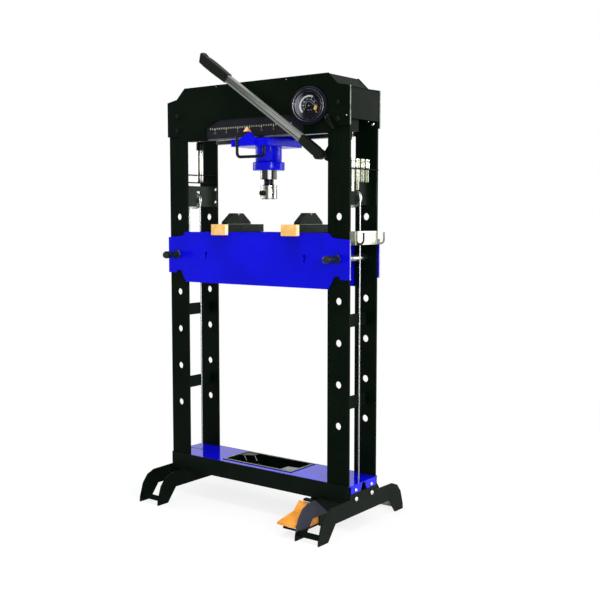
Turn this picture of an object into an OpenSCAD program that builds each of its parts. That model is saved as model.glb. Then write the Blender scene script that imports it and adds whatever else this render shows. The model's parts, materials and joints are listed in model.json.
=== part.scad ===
// Four-column workshop press with a travelling ram, a pinned bed and a hand lever.
// The frame stands on the floor at z = 0, its width runs along X and its depth along Y.

/* [Frame] */
// Distance between the centres of the left and right columns
column_spacing = 830; // [780:5:900]
// Width of each flat column bar
bar_w = 100; // [90:1:110]
// Thickness of each flat column bar
bar_t = 10; // [8:1:14]
// Depth over the outer faces of the front and rear column bars
frame_depth = 197; // [185:1:215]
// Thickness of the head, bed and base side plates
plate_t = 6; // [5:1:9]
// Diameter of the bed pin holes
pin_hole_d = 28; // [24:0.5:32]
// Vertical distance between two pin holes
hole_pitch = 160; // [150:1:170]
// Height of the uppermost row of pin holes
top_row_z = 1206; // [1190:1:1220]
// Number of rows of pin holes
hole_rows = 6; // [4:1:6]
// Height of the ties between a front and a rear bar
tie_h = 50; // [30:1:60]
// Thickness of those ties
tie_t = 8; // [5:1:12]

/* [Head] */
// Height of the head's lower edge between the columns
head_bottom_z = 1519; // [1500:1:1540]
// Height of the head's flat top above its lower edge
head_h = 223; // [205:1:250]
// How far the head and bed plates stand out past the bars
plate_over = 5; // [3:1:10]
// Half width of the head's flat top
head_top_half = 370; // [340:1:390]
// Drop from the flat top to the shoulder's inner corner
head_chamfer = 43; // [30:1:60]
// Drop along the sloping shoulder
head_slope = 11; // [5:1:20]
// Rise of the lower edge at the two ends
head_end_rise = 25; // [15:1:40]
// Half width of the scale window in the front plate
window_half = 253; // [220:1:280]
// Height of the scale window
window_h = 81; // [70:1:95]
// Width of the window's upper bevels
window_bevel_w = 70; // [50:1:90]
// Height of the window's upper bevels
window_bevel_h = 30; // [20:1:40]
// Thickness of the folded cover sheets
sheet_t = 3; // [2:0.5:4]
// Diameter of the frame bolts
bolt_d = 14; // [10:1:16]

/* [Gauge] */
// Diameter of the gauge's outer rim
gauge_d = 126; // [110:2:140]
// Place of the gauge to the right of the middle
gauge_x = 290; // [270:1:300]
// Height of the gauge's centre above the head's lower edge
gauge_up = 104; // [90:1:120]
// Angle that the gauge is turned towards the lever side
gauge_turn = 18; // [0:1:24]

/* [Carriage and ram] */
// Width of the carriage plate
carriage_w = 190; // [170:1:210]
// Thickness of the carriage plate
carriage_t = 29; // [24:1:36]
// How far the carriage plate stands out in front of the head
carriage_out = 20; // [12:1:24]
// Outer diameter of the cylinder barrel
barrel_d = 108; // [100:1:114]
// Diameter of the ram's rod
rod_d = 68; // [56:1:72]
// Height of the barrel that shows under the carriage plate
barrel_show = 59; // [45:1:80]
// Height of the collar at the barrel's lower end
collar_h = 34; // [25:1:45]
// Diameter of that collar
collar_d = 131; // [120:1:140]
// Length of rod that shows at rest
rod_show = 36; // [25:1:50]
// Length of the dark stub between the rod and the tool holder
stub_show = 21; // [14:1:30]
// Height of the tool holder
holder_h = 59; // [50:1:70]
// Diameter of the tool holder's socket
socket_d = 32; // [25:1:38]
// Travel of the ram
ram_stroke = 150; // [100:5:160]

/* [Lever] */
// Angle of the lever above the horizontal at rest
lever_angle = 34.5; // [28:0.5:38]
// Distance from the pivot to the tip of the grip
lever_len = 695; // [620:5:740]
// Height of the lever tube's section
lever_h = 30; // [26:1:36]
// Thickness of the lever tube's section
lever_t = 20; // [16:1:24]
// Length of the rubber grip
grip_len = 174; // [140:1:200]
// Diameter of the lever's pivot shaft
lever_shaft_d = 24; // [18:1:28]

/* [Bed] */
// Row of holes that the bed is pinned in, counted from the top
bed_row = 2; // [2:1:3]
// Height of the bed's upper edge above the pins
bed_up = 97; // [85:1:110]
// Depth of the bed's lower edge below the pins
bed_down = 116; // [100:1:130]
// Length of each rubber pin grip
pin_grip_len = 82; // [60:1:100]
// Width of each support block
block_w = 76; // [60:1:90]
// Height of a support block's lower bar
block_h = 32; // [24:1:40]
// Height of the notched upright on each support block
upright_h = 46; // [36:1:56]
// Place of the left support block
block_left_x = -169; // [-200:1:-140]
// Place of the right support block
block_right_x = 196; // [160:1:220]

/* [Base] */
// Height of the deck above the floor
deck_z = 180; // [172:1:195]
// Height of the base side plates
base_h = 70; // [62:1:72]
// Length of each foot
foot_len = 596; // [540:2:640]
// Clear height under a foot's arch
arch_z = 59; // [50:1:66]
// Height of a foot's crown between the base plates
crown_z = 146; // [140:1:150]
// Width of the tool tray
tray_w = 350; // [280:2:400]
// Depth of the tool tray from front to rear
tray_l = 150; // [120:2:160]
// Height of the tool tray's well
tray_h = 46; // [30:1:60]
// Width of the pedal
pedal_w = 84; // [70:1:92]

/* [Hangers and lift] */
// Radius of the lifting cable's path on its sheave
sheave_r = 32; // [28:0.5:34]
// Diameter of the lifting cable
cable_d = 5.5; // [4:0.5:7]
// Height of the sheave's axle above the uppermost holes
sheave_up = 70; // [62:1:80]
// Height of the mandrel rack above the uppermost holes
rack_up = 180; // [170:1:190]
// Diameter of the mandrel shanks
mandrel_d = 18; // [14:1:20]
// Diameter of the stowed handle tube
tube_d = 27; // [20:1:32]

/* [Hidden] */
$fn = 64;

// Running clearance of a shaft in its hole, and the gap at a resting seat
run_gap = 0.08;
seat_gap = 0.3;
weld_gap = 0.05;

// Plan of the frame
col_x = column_spacing / 2;
bar_in = col_x - bar_w / 2;
bar_out = col_x + bar_w / 2;
end_x = bar_out + plate_over;
face_y = frame_depth / 2;
gap_y = face_y - bar_t;
skin_y = face_y + plate_t;
base_z = deck_z - base_h;

// Heights of the head
head_top_z = head_bottom_z + head_h;
corner_z = head_top_z - head_chamfer;
shoulder_z = corner_z - head_slope;
corner_x = col_x;
head_end_z = head_bottom_z + head_end_rise;
bar_top_z = shoulder_z - 30;
bolt_rise = [head_end_rise + 23, head_end_rise + 83];
head_bolt_r = bolt_d / 2;

// Rails and scale
scale_t = 4;
rail_w = 20;
rail_h = 20;
rail_len = 2 * (bar_in - 8);
rail_front_y = -face_y + scale_t;
rail_rear_y = face_y - rail_w;
rail_top_z = head_bottom_z + rail_h;

// Carriage and ram
ram_gap_z = 4;
carriage_top_z = head_bottom_z - ram_gap_z;
carriage_z = carriage_top_z - carriage_t;
carriage_front_y = -skin_y - carriage_out;
carriage_rear_y = face_y + 1;
shoe_t = 3;
flange_z = rail_top_z + seat_gap + shoe_t;
flange_t = 12;
rail_side_gap = 4.5;
collar_z = carriage_z - barrel_show;
rod_top_gap = 10;
gland_z = collar_z - collar_h;
rod_z = gland_z - rod_show;
holder_top_z = rod_z - stub_show;
holder_z = holder_top_z - holder_h;
piston_h = 30;
piston_z = collar_z + rod_top_gap + ram_stroke;
bore_r = barrel_d / 2 - 14;
barrel_top_z = piston_z + piston_h + 30;
stub_d = 40;
stub_in = 20;
socket_len = holder_h - stub_in - 6;
screw_z = holder_z + holder_h * 0.42;
screw_r = 4;

// Lever
pivot_x = bar_in - 25;
pivot_z = head_bottom_z - 79;
lever_y = -skin_y - carriage_out - 34;
arm_start = 78;
arm_rise = 19;
tongue_len = 90;
tube_wall = 2.5;
grip_wall = 3;
boss_r = lever_shaft_d / 2 + 8;
boss_front_y = -face_y - 34;
boss_len = 28;
pump_front_y = -gap_y;
pump_d = 66;
pump_z = head_bottom_z + 5;
pump_h = 116;
bracket_y = pump_front_y + 28;
bracket_t = 30;

// Bed
pin_z = top_row_z - (bed_row - 1) * hole_pitch;
pin_r = pin_hole_d / 2 - seat_gap;
bed_top_z = pin_z + bed_up;
bed_bottom_z = pin_z - bed_down;
tab_x = bar_out + plate_over + 2;
pin_tail_y = skin_y + 20;
cross_t = 8;
cross_in = 3 * cross_t;
cross_x = bar_in - 7 - cross_t;
key_x = bar_in - 107;
key_r = 9;
cap_t = 20;
cap_lap = 12;
cap_over = 0.5;
cap_shift = 5;
upright_t = 28;
block_front = skin_y + 4.5;
block_rear = skin_y + 21.5;
upright_shift = 8;

// Hangers and lift
sheave_z = top_row_z + sheave_up;
sheave_w = 14;
sheave_rim = sheave_r + 4;
sheave_groove = sheave_r - cable_d / 2 - seat_gap;
sheave_axle_r = 6;
web_x = 20;
web_t = 4;
bracket_h = 88;
bracket_low = 26;
lug_t = 8;
lug_w = 30;
lug_in_z = pin_z + 18;
lug_out_z = pin_z - 14;
ferrule_r = 7;
ferrule_h = 16;
rack_z = top_row_z + rack_up;
rack_x = 38;
mandrel_y = [-66, -33, -1, 33];
mandrel_drop = [86, 81, 50, 50];
mandrel_head_h = 38;
tube_place = [-col_x + 20, 16];
tube_drop = 32;
tube_len = 162;
hook_z = pin_z + 53;
hook_h = 52;
hook_out = 40;
hook_y = [-58, 85];

// Base and pedal
foot_t = 6;
foot_half = foot_len / 2;
tip_len = 60;
foot_bolt = [55, 23];
flange_bolt_z = deck_z - 22;
tray_place = [-15, 12];
tray_wall = 2;
tray_rim = 8;
pedal_x = bar_in - foot_t - 5 - pedal_w;
pedal_pivot = [-125, 82];
pedal_pin_r = 7;
pedal_t = 4;
pedal_front = [-290, 55];
pedal_crease = [-190, 71];
pedal_top = [-153, 105.5];
pedal_lip = 10;
skirt_z = 26;
skirt_back = [-247, -137];

// An outline in X and Z, drawn out along Y from y0
module along_y(y0, t) { translate([0, y0 + t, 0]) rotate([90, 0, 0]) linear_extrude(t) children(); }

// An outline in Y and Z, drawn out along X from x0
module along_x(x0, t) { translate([x0, 0, 0]) rotate([90, 0, 90]) linear_extrude(t) children(); }

// A round bar along Y between two stations
module bar_y(x, z, r, y0, y1) { translate([x, y1, z]) rotate([90, 0, 0]) cylinder(r = r, h = y1 - y0); }

// Half outline points mirrored into a closed outline that is symmetric about u = 0
function both_sides(half) = concat(half, [for (i = [len(half) - 1 : -1 : 0]) [-half[i][0], half[i][1]]]);

// Places of the bolts that hold each head plate to its bars
module head_bolt_places() {
  for (side = [-1, 1], rise = bolt_rise) translate([side * col_x, head_bottom_z + rise]) children();
}

// Columns

module column_outline() {
  difference() {
    translate([-bar_w / 2, base_z]) square([bar_w, bar_top_z - base_z]);
    for (row = [0 : hole_rows - 1]) translate([0, top_row_z - row * hole_pitch]) circle(d = pin_hole_d);
    for (rise = bolt_rise) translate([0, head_bottom_z + rise]) circle(r = head_bolt_r + weld_gap);
  }
}

module column_bar(side, y0) {
  color([0.07, 0.08, 0.07]) along_y(y0, bar_t) translate([side * col_x, 0]) column_outline();
}

module column_front_left() { column_bar(-1, -face_y); }
module column_front_right() { column_bar(1, -face_y); }
module column_rear_left() { column_bar(-1, gap_y); }
module column_rear_right() { column_bar(1, gap_y); }

// Flat ties welded between the front and rear bars, midway between two hole rows
module column_ties() {
  color([0.07, 0.08, 0.07]) for (side = [-1, 1], row = [2.5, 4.5])
    translate([side * col_x - tie_t / 2, -gap_y, top_row_z - row * hole_pitch - tie_h / 2])
      cube([tie_t, 2 * gap_y, tie_h]);
}

// Head

head_half = [[head_top_half, head_top_z], [corner_x, corner_z], [end_x, shoulder_z], [end_x, head_end_z],
             [bar_in + head_end_rise + 10, head_end_z], [bar_in + 10, head_bottom_z]];

module head_outline() {
  difference() {
    polygon(both_sides(head_half));
    head_bolt_places() circle(r = head_bolt_r + weld_gap);
  }
}

// The window is open below, with bevelled upper corners
module window_outline(grow) {
  polygon(both_sides([[window_half - window_bevel_w + grow, head_bottom_z + window_h + grow],
                      [window_half + grow, head_bottom_z + window_h - window_bevel_h + grow],
                      [window_half + grow, head_bottom_z - 1]]));
}

module head_front_plate() {
  color([0.07, 0.08, 0.07]) along_y(-skin_y, plate_t) difference() {
    head_outline();
    window_outline(0);
  }
}

module head_rear_plate() { color([0.07, 0.08, 0.07]) along_y(face_y, plate_t) head_outline(); }

// One folded sheet that follows the plates' upper outline between them
cover_drop = 2;
module head_top_cover() {
  outer = concat([for (i = [2 : -1 : 0]) [-head_half[i][0], head_half[i][1] - cover_drop]],
                 [for (i = [0 : 2]) [head_half[i][0], head_half[i][1] - cover_drop]]);
  inner = [for (i = [len(outer) - 1 : -1 : 0]) [outer[i][0], outer[i][1] - sheet_t]];
  color([0.08, 0.09, 0.08]) along_y(-face_y, 2 * face_y) polygon(concat(outer, inner));
}

module head_end_covers() {
  color([0.08, 0.09, 0.08]) for (side = [-1, 1])
    along_x(side > 0 ? bar_out : -bar_out - sheet_t, sheet_t)
      translate([-face_y, head_end_z + head_end_rise])
        square([2 * face_y, shoulder_z - cover_drop - sheet_t - head_end_z - head_end_rise]);
}

// A bolt along Z with its button head up, its grip length below z = 0 and a nut under that
module bolt(r, grip) {
  button_r = r * 1.6;
  button_h = r * 0.9;
  nut_h = r * 1.2;
  translate([0, 0, -grip - nut_h]) cylinder(r = r, h = grip + nut_h + button_h / 2);
  rotate_extrude()
    polygon([[0, 0], [button_r, 0], [button_r, button_h * 0.4], [button_r * 0.75, button_h], [0, button_h]]);
  translate([0, 0, -grip - nut_h]) cylinder(r = button_r, h = nut_h, $fn = 6);
}

module frame_bolts() {
  small_r = head_bolt_r * 0.6;
  color([0.75, 0.75, 0.72]) {
    for (side = [-1, 1], face = [-1, 1], rise = bolt_rise)
      translate([side * col_x, face * skin_y, head_bottom_z + rise])
        rotate([face < 0 ? 90 : -90, 0, 0]) bolt(head_bolt_r, plate_t + bar_t);
    for (side = [-1, 1], y = [-foot_bolt[0], foot_bolt[0]]) {
      translate([side * (bar_out + foot_t), y, crown_z - foot_bolt[1]])
        rotate([0, side * 90, 0]) bolt(small_r, foot_t);
      translate([side * (bar_out + foot_t), y, flange_bolt_z])
        rotate([0, side * 90, 0]) bolt(small_r, sheet_t);
    }
  }
}

// Bright flat rails that the carriage hangs on
module carriage_rails() {
  color([0.78, 0.79, 0.8]) for (y = [rail_front_y, rail_rear_y])
    translate([-rail_len / 2, y, head_bottom_z]) cube([rail_len, rail_w, rail_h]);
}

// Scale plate behind the window, with a lip along its lower edge
module scale_plate() {
  lip = [7, 26];
  color([0.11, 0.12, 0.14]) union() {
    along_y(-face_y, scale_t) difference() {
      window_outline(12);
      translate([-bar_in, head_bottom_z - 2]) square([2 * bar_in, lip[0] + 2]);
    }
    translate([-window_half + window_bevel_w, -face_y - 2.5, head_bottom_z + lip[0]])
      cube([2 * (window_half - window_bevel_w), 3, lip[1] - lip[0]]);
  }
}

// Gauge: local z runs out of the dial, and the pod is cut flush by the head's front plate
gauge_body_r = gauge_d / 2 - 5;
gauge_dial_r = gauge_d / 2 - 12;
gauge_front = 34;
gauge_well = 17;
module gauge_place() {
  translate([gauge_x, -skin_y, head_bottom_z + gauge_up])
    rotate([0, 0, gauge_turn]) rotate([90, 0, 0]) children();
}

module gauge_case() {
  reach = gauge_d;
  rim = gauge_d / 2;
  // Rounded outer ring, a shallow channel and a narrow inner ring that holds the glass
  bezel = [[0, -10], [rim - 2, -10], [rim, -8], [rim, -3], [rim - 1, -1], [rim - 3, 0], [rim - 5, -1],
           [rim - 6, -3], [gauge_dial_r + 2.5, -3], [gauge_dial_r + 1.7, -1.2], [gauge_dial_r, -1], [0, -1]];
  color([0.05, 0.05, 0.06]) difference() {
    gauge_place() difference() {
      union() {
        translate([0, 0, -gauge_front]) cylinder(r = gauge_body_r, h = 2 * gauge_front - 8);
        translate([0, 0, gauge_front]) rotate_extrude() polygon(bezel);
      }
      translate([0, 0, gauge_front - gauge_well]) cylinder(r = gauge_dial_r, h = gauge_well + 1);
    }
    translate([gauge_x - reach, -skin_y, head_bottom_z + gauge_up - reach])
      cube([2 * reach, reach, 2 * reach]);
  }
}

module gauge_dial() {
  color([0.04, 0.04, 0.05]) gauge_place() translate([0, 0, gauge_front - gauge_well]) {
    cylinder(r = gauge_dial_r - weld_gap, h = 2);
    cylinder(r = 2, h = 8);
  }
}

module gauge_glass() {
  color([0.8, 0.85, 0.9, 0.3]) gauge_place() translate([0, 0, gauge_front - 5])
    cylinder(r = gauge_dial_r - weld_gap, h = 2.5);
}

module gauge_needle() {
  tip = gauge_dial_r * 0.8;
  color([0.9, 0.9, 0.9]) gauge_place() translate([0, 0, gauge_front - gauge_well + 4])
    rotate([0, 0, 225]) linear_extrude(1.5) difference() {
      union() {
        circle(r = 5);
        polygon([[-12, -2.5], [0, -2.5], [tip, -0.5], [tip, 0.5], [0, 2.5], [-12, 2.5]]);
      }
      circle(r = 2 + run_gap);
    }
}

// Release valve and its paddle, low on the right of the front plate
valve_place = [bar_in + 9, head_bottom_z + 56];
valve_out = 10;
module release_valve() {
  color([0.09, 0.09, 0.09]) {
    bar_y(valve_place[0], valve_place[1], 11, -skin_y - valve_out, -skin_y);
    bar_y(valve_place[0], valve_place[1], 4, -skin_y - valve_out - 12, -skin_y - 1);
  }
}

module release_paddle() {
  paddle_len = 56;
  color([0.1, 0.1, 0.1]) along_y(-skin_y - valve_out - seat_gap - 9, 9)
    translate(valve_place) rotate(-52) difference() {
      union() {
        circle(r = 9);
        polygon([[0, -9], [paddle_len - 8, -6], [paddle_len, -3], [paddle_len, 3], [paddle_len - 8, 6],
                 [0, 9]]);
      }
      circle(r = 4 + run_gap);
    }
}

// Pump block on the right column, with a bracket that carries the lever's shaft
module pump_body() {
  foot_x = [bar_in + 12, bar_out - 12];
  color([0.12, 0.13, 0.12]) union() {
    difference() {
      translate([foot_x[0], pump_front_y, pump_z]) cube([foot_x[1] - foot_x[0], pump_d, pump_h]);
      for (rise = bolt_rise) bar_y(col_x, head_bottom_z + rise, head_bolt_r * 1.6 + 1, pump_front_y - 1,
                                   pump_front_y + head_bolt_r * 1.2 + 1);
    }
    along_y(bracket_y, bracket_t) difference() {
      union() {
        translate([pivot_x, pivot_z]) circle(r = boss_r + 3);
        polygon([[pivot_x - 16, pivot_z + 16], [foot_x[0] + 4, pump_z + 6], [foot_x[0] + 52, pump_z + 6],
                 [foot_x[0] + 52, pump_z - 26], [pivot_x + 12, pivot_z - 20]]);
      }
      translate([pivot_x, pivot_z]) circle(r = lever_shaft_d / 2 + run_gap);
    }
  }
}

// Lever: local -x runs along the lever and local z points up across it, about the pivot
module lever_place() { translate([pivot_x, 0, pivot_z]) rotate([0, lever_angle, 0]) children(); }

// Cranked socket: a shaft in the pump bracket, a boss, a neck that leads forward and a tongue
module lever_socket() {
  tongue_h = lever_h - 2 * tube_wall - 2 * weld_gap;
  tongue_t = lever_t - 2 * tube_wall - 2 * weld_gap;
  color([0.06, 0.06, 0.06]) union() {
    bar_y(pivot_x, pivot_z, lever_shaft_d / 2, boss_front_y + 2, bracket_y + bracket_t + 4);
    bar_y(pivot_x, pivot_z, boss_r, boss_front_y, boss_front_y + boss_len);
    lever_place() {
      intersection() {
        translate([0, 0, -lever_len / 2]) linear_extrude(lever_len)
          polygon([[12, boss_front_y + boss_len - 1], [12, boss_front_y + 1], [-6, boss_front_y + 1],
                   [12 - arm_start, lever_y - lever_t / 2], [-arm_start, lever_y - lever_t / 2],
                   [-arm_start, lever_y + lever_t / 2], [-16, boss_front_y + boss_len - 1]]);
        along_y(-lever_len / 2, lever_len)
          polygon([[12, -boss_r * 0.7], [12, boss_r * 0.7], [-arm_start + 12, arm_rise + lever_h / 2],
                   [-arm_start, arm_rise + lever_h / 2], [-arm_start, arm_rise - lever_h / 2],
                   [-16, -boss_r * 0.7]]);
      }
      translate([-arm_start - tongue_len, lever_y - tongue_t / 2, arm_rise - tongue_h / 2])
        cube([tongue_len + 4, tongue_t, tongue_h]);
    }
  }
}

// Box tube with a groove along its front face
module lever_arm() {
  arm_len = lever_len - arm_start - 12;
  color([0.45, 0.46, 0.43]) lever_place()
    translate([-arm_start - arm_len, lever_y - lever_t / 2, arm_rise - lever_h / 2]) difference() {
      cube([arm_len, lever_t, lever_h]);
      translate([-1, tube_wall, tube_wall])
        cube([arm_len + 2, lever_t - 2 * tube_wall, lever_h - 2 * tube_wall]);
      for (groove = [[0.25, 0.12], [0.82, 0.06]]) translate([-1, -1, lever_h * groove[0]])
        cube([arm_len + 2, 1 + tube_wall * 0.7, lever_h * groove[1]]);
    }
}

// Moulded rubber grip, pushed over the tube: it swells in the middle and ends in a low knob
module lever_grip() {
  half = lever_h / 2 + grip_wall;
  swell = grip_wall * 1.5;
  side = [[0.07, -half - 0.2 * swell], [0.23, -half - 0.9 * swell], [0.46, -half - swell],
          [0.75, -half - 0.55 * swell], [1, -half], [1, half], [0.75, half + 0.55 * swell],
          [0.49, half + swell], [0.29, half + 0.8 * swell], [0.17, half + 0.1 * swell],
          [0.115, half + 0.7 * swell], [0.07, half + 1.3 * swell], [0.03, half + 1.1 * swell],
          [0, half], [0, half * 0.55]];
  grip_t = lever_t + 2 * grip_wall;
  pocket = 12;
  color([0.04, 0.04, 0.04]) lever_place() translate([-lever_len, lever_y, arm_rise]) difference() {
    intersection() {
      along_y(-grip_t / 2, grip_t) polygon([for (p = side) [p[0] * grip_len, p[1]]]);
      rotate([90, 0, 90]) linear_extrude(grip_len) grip_section(grip_t, 2 * (half + 1.4 * swell), 7);
    }
    translate([pocket, -lever_t / 2, -lever_h / 2]) cube([grip_len - pocket + 1, lever_t, lever_h]);
  }
}

module grip_section(w, h, bevel) {
  polygon(both_sides([[w / 2 - bevel, h / 2], [w / 2, h / 2 - bevel], [w / 2, bevel - h / 2],
                      [w / 2 - bevel, -h / 2]]));
}

// Carriage: plate under the head, a neck between the rails and a flange that rides over them
module carriage_plate() {
  neck_w = carriage_w - 30;
  neck_y = [rail_front_y + rail_w + rail_side_gap, rail_rear_y - rail_side_gap];
  flange_y = [rail_front_y + rail_side_gap, rail_rear_y + rail_w - rail_side_gap];
  color([0.1, 0.09, 0.85]) difference() {
    union() {
      translate([-carriage_w / 2, carriage_front_y, carriage_z])
        cube([carriage_w, carriage_rear_y - carriage_front_y, carriage_t]);
      translate([-neck_w / 2, neck_y[0], carriage_z + 1])
        cube([neck_w, neck_y[1] - neck_y[0], flange_z - carriage_z]);
      translate([-neck_w / 2, flange_y[0], flange_z]) cube([neck_w, flange_y[1] - flange_y[0], flange_t]);
    }
    translate([0, 0, carriage_z - 1]) cylinder(r = barrel_d / 2 + weld_gap, h = head_h);
  }
}

module carriage_shoes() {
  shoe_len = carriage_w - 34;
  color([0.75, 0.72, 0.6]) for (y = [rail_front_y + rail_side_gap, rail_rear_y + 1])
    translate([-shoe_len / 2, y, flange_z - shoe_t]) cube([shoe_len, rail_w - rail_side_gap - 1, shoe_t]);
}

// Five-sided bracket on the carriage's front face
bracket_out = 14;
module pointer_bracket() {
  low = carriage_z + 1;
  color([0.1, 0.09, 0.85]) along_y(carriage_front_y - bracket_out, bracket_out)
    polygon([[-42, low], [-42, carriage_top_z - 2], [5, carriage_top_z + 20], [12, carriage_top_z + 26],
             [36, carriage_top_z - 4], [36, low]]);
}

// Pointer: a stem behind the bracket and a ridged head above it, close to the scale
module pointer() {
  base = carriage_top_z + 28;
  head = [-30, -9, 9];
  tall = 17.5;
  sheet = 3;
  ridge = 7;
  color([0.95, 0.55, 0.15]) union() {
    along_y(carriage_front_y, sheet)
      translate([0, carriage_top_z + 2]) square([head[2], base - carriage_top_z - 1]);
    intersection() {
      along_y(carriage_front_y - ridge, ridge + sheet)
        polygon([[head[0], base], [head[1], base + tall], [head[2], base]]);
      translate([0, carriage_front_y, base]) linear_extrude(tall)
        polygon([[head[0], sheet], [head[0], 0], [head[1], -ridge], [head[2], 0], [head[2], sheet]]);
    }
  }
}

// Round-bar handle: the left leg lies on the front face and the right leg ends under the plate
module carriage_handle() {
  bar_r = 6;
  bend = 16;
  span = 126;
  low = carriage_z - 42;
  left_top = carriage_top_z + 14;
  color([0.04, 0.04, 0.04]) translate([-57, carriage_front_y - bar_r - weld_gap, 0]) rotate([0, 0, 8]) {
    translate([0, 0, low + bend]) cylinder(r = bar_r, h = left_top - low - bend);
    translate([span, 0, low + bend]) cylinder(r = bar_r, h = carriage_z - low - bend);
    translate([bend, 0, low]) rotate([0, 90, 0]) cylinder(r = bar_r, h = span - 2 * bend);
    translate([bend, 0, low + bend]) rotate([90, 180, 0])
      rotate_extrude(angle = 90) translate([bend, 0]) circle(r = bar_r);
    translate([span - bend, 0, low + bend]) rotate([90, 90, 0])
      rotate_extrude(angle = 90) translate([bend, 0]) circle(r = bar_r);
  }
}

// Cylinder and ram

module cylinder_barrel() {
  outer = barrel_d / 2;
  color([0.1, 0.09, 0.85]) rotate_extrude()
    polygon([[bore_r, collar_z], [outer, collar_z], [outer, barrel_top_z - 4], [outer - 4, barrel_top_z],
             [0, barrel_top_z], [0, barrel_top_z - 20], [bore_r, barrel_top_z - 20]]);
}

module cylinder_collar() {
  outer = collar_d / 2;
  inner = rod_d / 2 + run_gap;
  color([0.1, 0.09, 0.85]) rotate_extrude()
    polygon([[inner, gland_z], [outer - 2, gland_z], [outer, gland_z + 2], [outer, collar_z - 2],
             [outer - 2, collar_z], [inner, collar_z]]);
}

module ram_rod() {
  r = rod_d / 2;
  piston_r = bore_r - run_gap;
  color([0.85, 0.86, 0.88]) rotate_extrude()
    polygon([[0, rod_z], [r - 2, rod_z], [r, rod_z + 2], [r, piston_z], [piston_r, piston_z],
             [piston_r, piston_z + piston_h], [0, piston_z + piston_h]]);
}

module ram_stub() {
  color([0.05, 0.05, 0.05])
    translate([0, 0, holder_top_z - stub_in]) cylinder(d = stub_d, h = stub_in + stub_show);
}

// Tool holder with a socket below, a groove and a cross hole for its clamping screw
module tool_holder() {
  r = rod_d / 2;
  neck = stub_d / 2 + weld_gap;
  groove_z = holder_top_z - 14;
  color([0.8, 0.82, 0.84]) difference() {
    rotate_extrude()
      polygon([[socket_d / 2, holder_z], [r - 3, holder_z], [r, holder_z + 3], [r, groove_z - 3],
               [r - 3, groove_z - 1.5], [r - 3, groove_z + 1.5], [r, groove_z + 3], [r, holder_top_z - 4],
               [r - 6, holder_top_z], [neck, holder_top_z], [neck, holder_top_z - stub_in],
               [0, holder_top_z - stub_in], [0, holder_z + socket_len],
               [socket_d / 2, holder_z + socket_len]]);
    bar_y(0, screw_z, screw_r + run_gap, -r - 1, -socket_d / 2 + 1);
  }
}

module holder_screw() {
  r = rod_d / 2;
  color([0.04, 0.04, 0.04]) translate([0, -r, screw_z]) rotate([90, 0, 0]) {
    translate([0, 0, socket_d / 2 + 1 - r]) cylinder(r = screw_r, h = r - socket_d / 2 + 4);
    translate([0, 0, 3]) cylinder(r = 11, h = 12, $fn = 12);
  }
}

// Bed

bed_half = [[bar_in + 8, bed_top_z], [bar_in + 23, bed_top_z - 17], [tab_x, bed_top_z - 24],
            [tab_x, pin_z - 78], [bar_in + 64, pin_z - 78], [bar_in + 58, pin_z - 66],
            [bar_in + 36, pin_z - 66], [bar_in + 6, bed_bottom_z]];

module bed_outline() {
  difference() {
    polygon(both_sides(bed_half));
    for (side = [-1, 1]) translate([side * col_x, pin_z]) circle(d = pin_hole_d);
  }
}

// A round hole with a narrow slot below it
module keyhole() {
  circle(r = key_r);
  translate([-key_r / 2, -2.4 * key_r]) square([key_r, 2.4 * key_r]);
}

module bed_front_plate() {
  color([0.1, 0.09, 0.85]) along_y(-skin_y, plate_t) difference() {
    bed_outline();
    for (side = [-1, 1]) translate([side * key_x, pin_z + 6]) keyhole();
  }
}

module bed_rear_plate() { color([0.1, 0.09, 0.85]) along_y(face_y, plate_t) bed_outline(); }

// Plates welded across the bed beside the columns, with the cables' lugs
module bed_cross_plates() {
  cross_h = bed_up + bed_down - 2 * cross_in;
  right_end = col_x - sheave_r + ferrule_r + 3;
  tie_x = -bar_out - 1 - plate_t;
  left_end = -col_x - sheave_r + ferrule_r + 3;
  color([0.1, 0.09, 0.85]) {
    for (side = [-1, 1]) translate([side > 0 ? cross_x : -cross_x - cross_t, -face_y, bed_bottom_z + 2])
      cube([cross_t, 2 * face_y, cross_h]);
    difference() {
      translate([cross_x + cross_t - 1, -lug_w / 2, lug_in_z])
        cube([right_end - cross_x - cross_t + 1, lug_w, lug_t]);
      translate([col_x - sheave_r, 0, lug_in_z - 1]) cylinder(r = cable_d / 2 + weld_gap, h = lug_t + 2);
    }
    difference() {
      union() {
        translate([tie_x, -face_y, lug_out_z - 16]) cube([plate_t, 2 * face_y, 32]);
        translate([tie_x + plate_t - 1, -lug_w / 2, lug_out_z])
          cube([left_end - tie_x - plate_t + 1, lug_w, lug_t]);
      }
      translate([-col_x - sheave_r, 0, lug_out_z - 1]) cylinder(r = cable_d / 2 + weld_gap, h = lug_t + 2);
    }
  }
}

// Support block: a bar across the bed with a notched upright, which stands off its middle
module support_block(x, shift) {
  up = bed_top_z + block_h;
  notch = [8, 8];
  crest = upright_h * 0.63;
  foot = upright_h * 1.67;
  color([0.1, 0.11, 0.1]) union() {
    translate([x - block_w / 2, -block_front, bed_top_z]) cube([block_w, block_front + block_rear, block_h]);
    translate([0, shift, 0]) along_x(x - upright_t / 2, upright_t)
      polygon(both_sides([[0.01, up + upright_h - notch[1]], [notch[0], up + upright_h],
                          [crest, up + upright_h], [foot, up + upright_h / 5], [foot, up - 1]]));
  }
}

module block_left() { support_block(block_left_x, -upright_shift); }
module block_right() { support_block(block_right_x, upright_shift); }

// Front caps that hook down over the bed's front plate
module block_caps() {
  color([0.95, 0.68, 0.3]) for (x = [block_left_x, block_right_x])
    translate([x + cap_shift - block_w / 2 - cap_over, -block_front - cap_t, bed_top_z - cap_lap])
      cube([block_w + 2 * cap_over, cap_t, block_h + cap_lap]);
}

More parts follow.
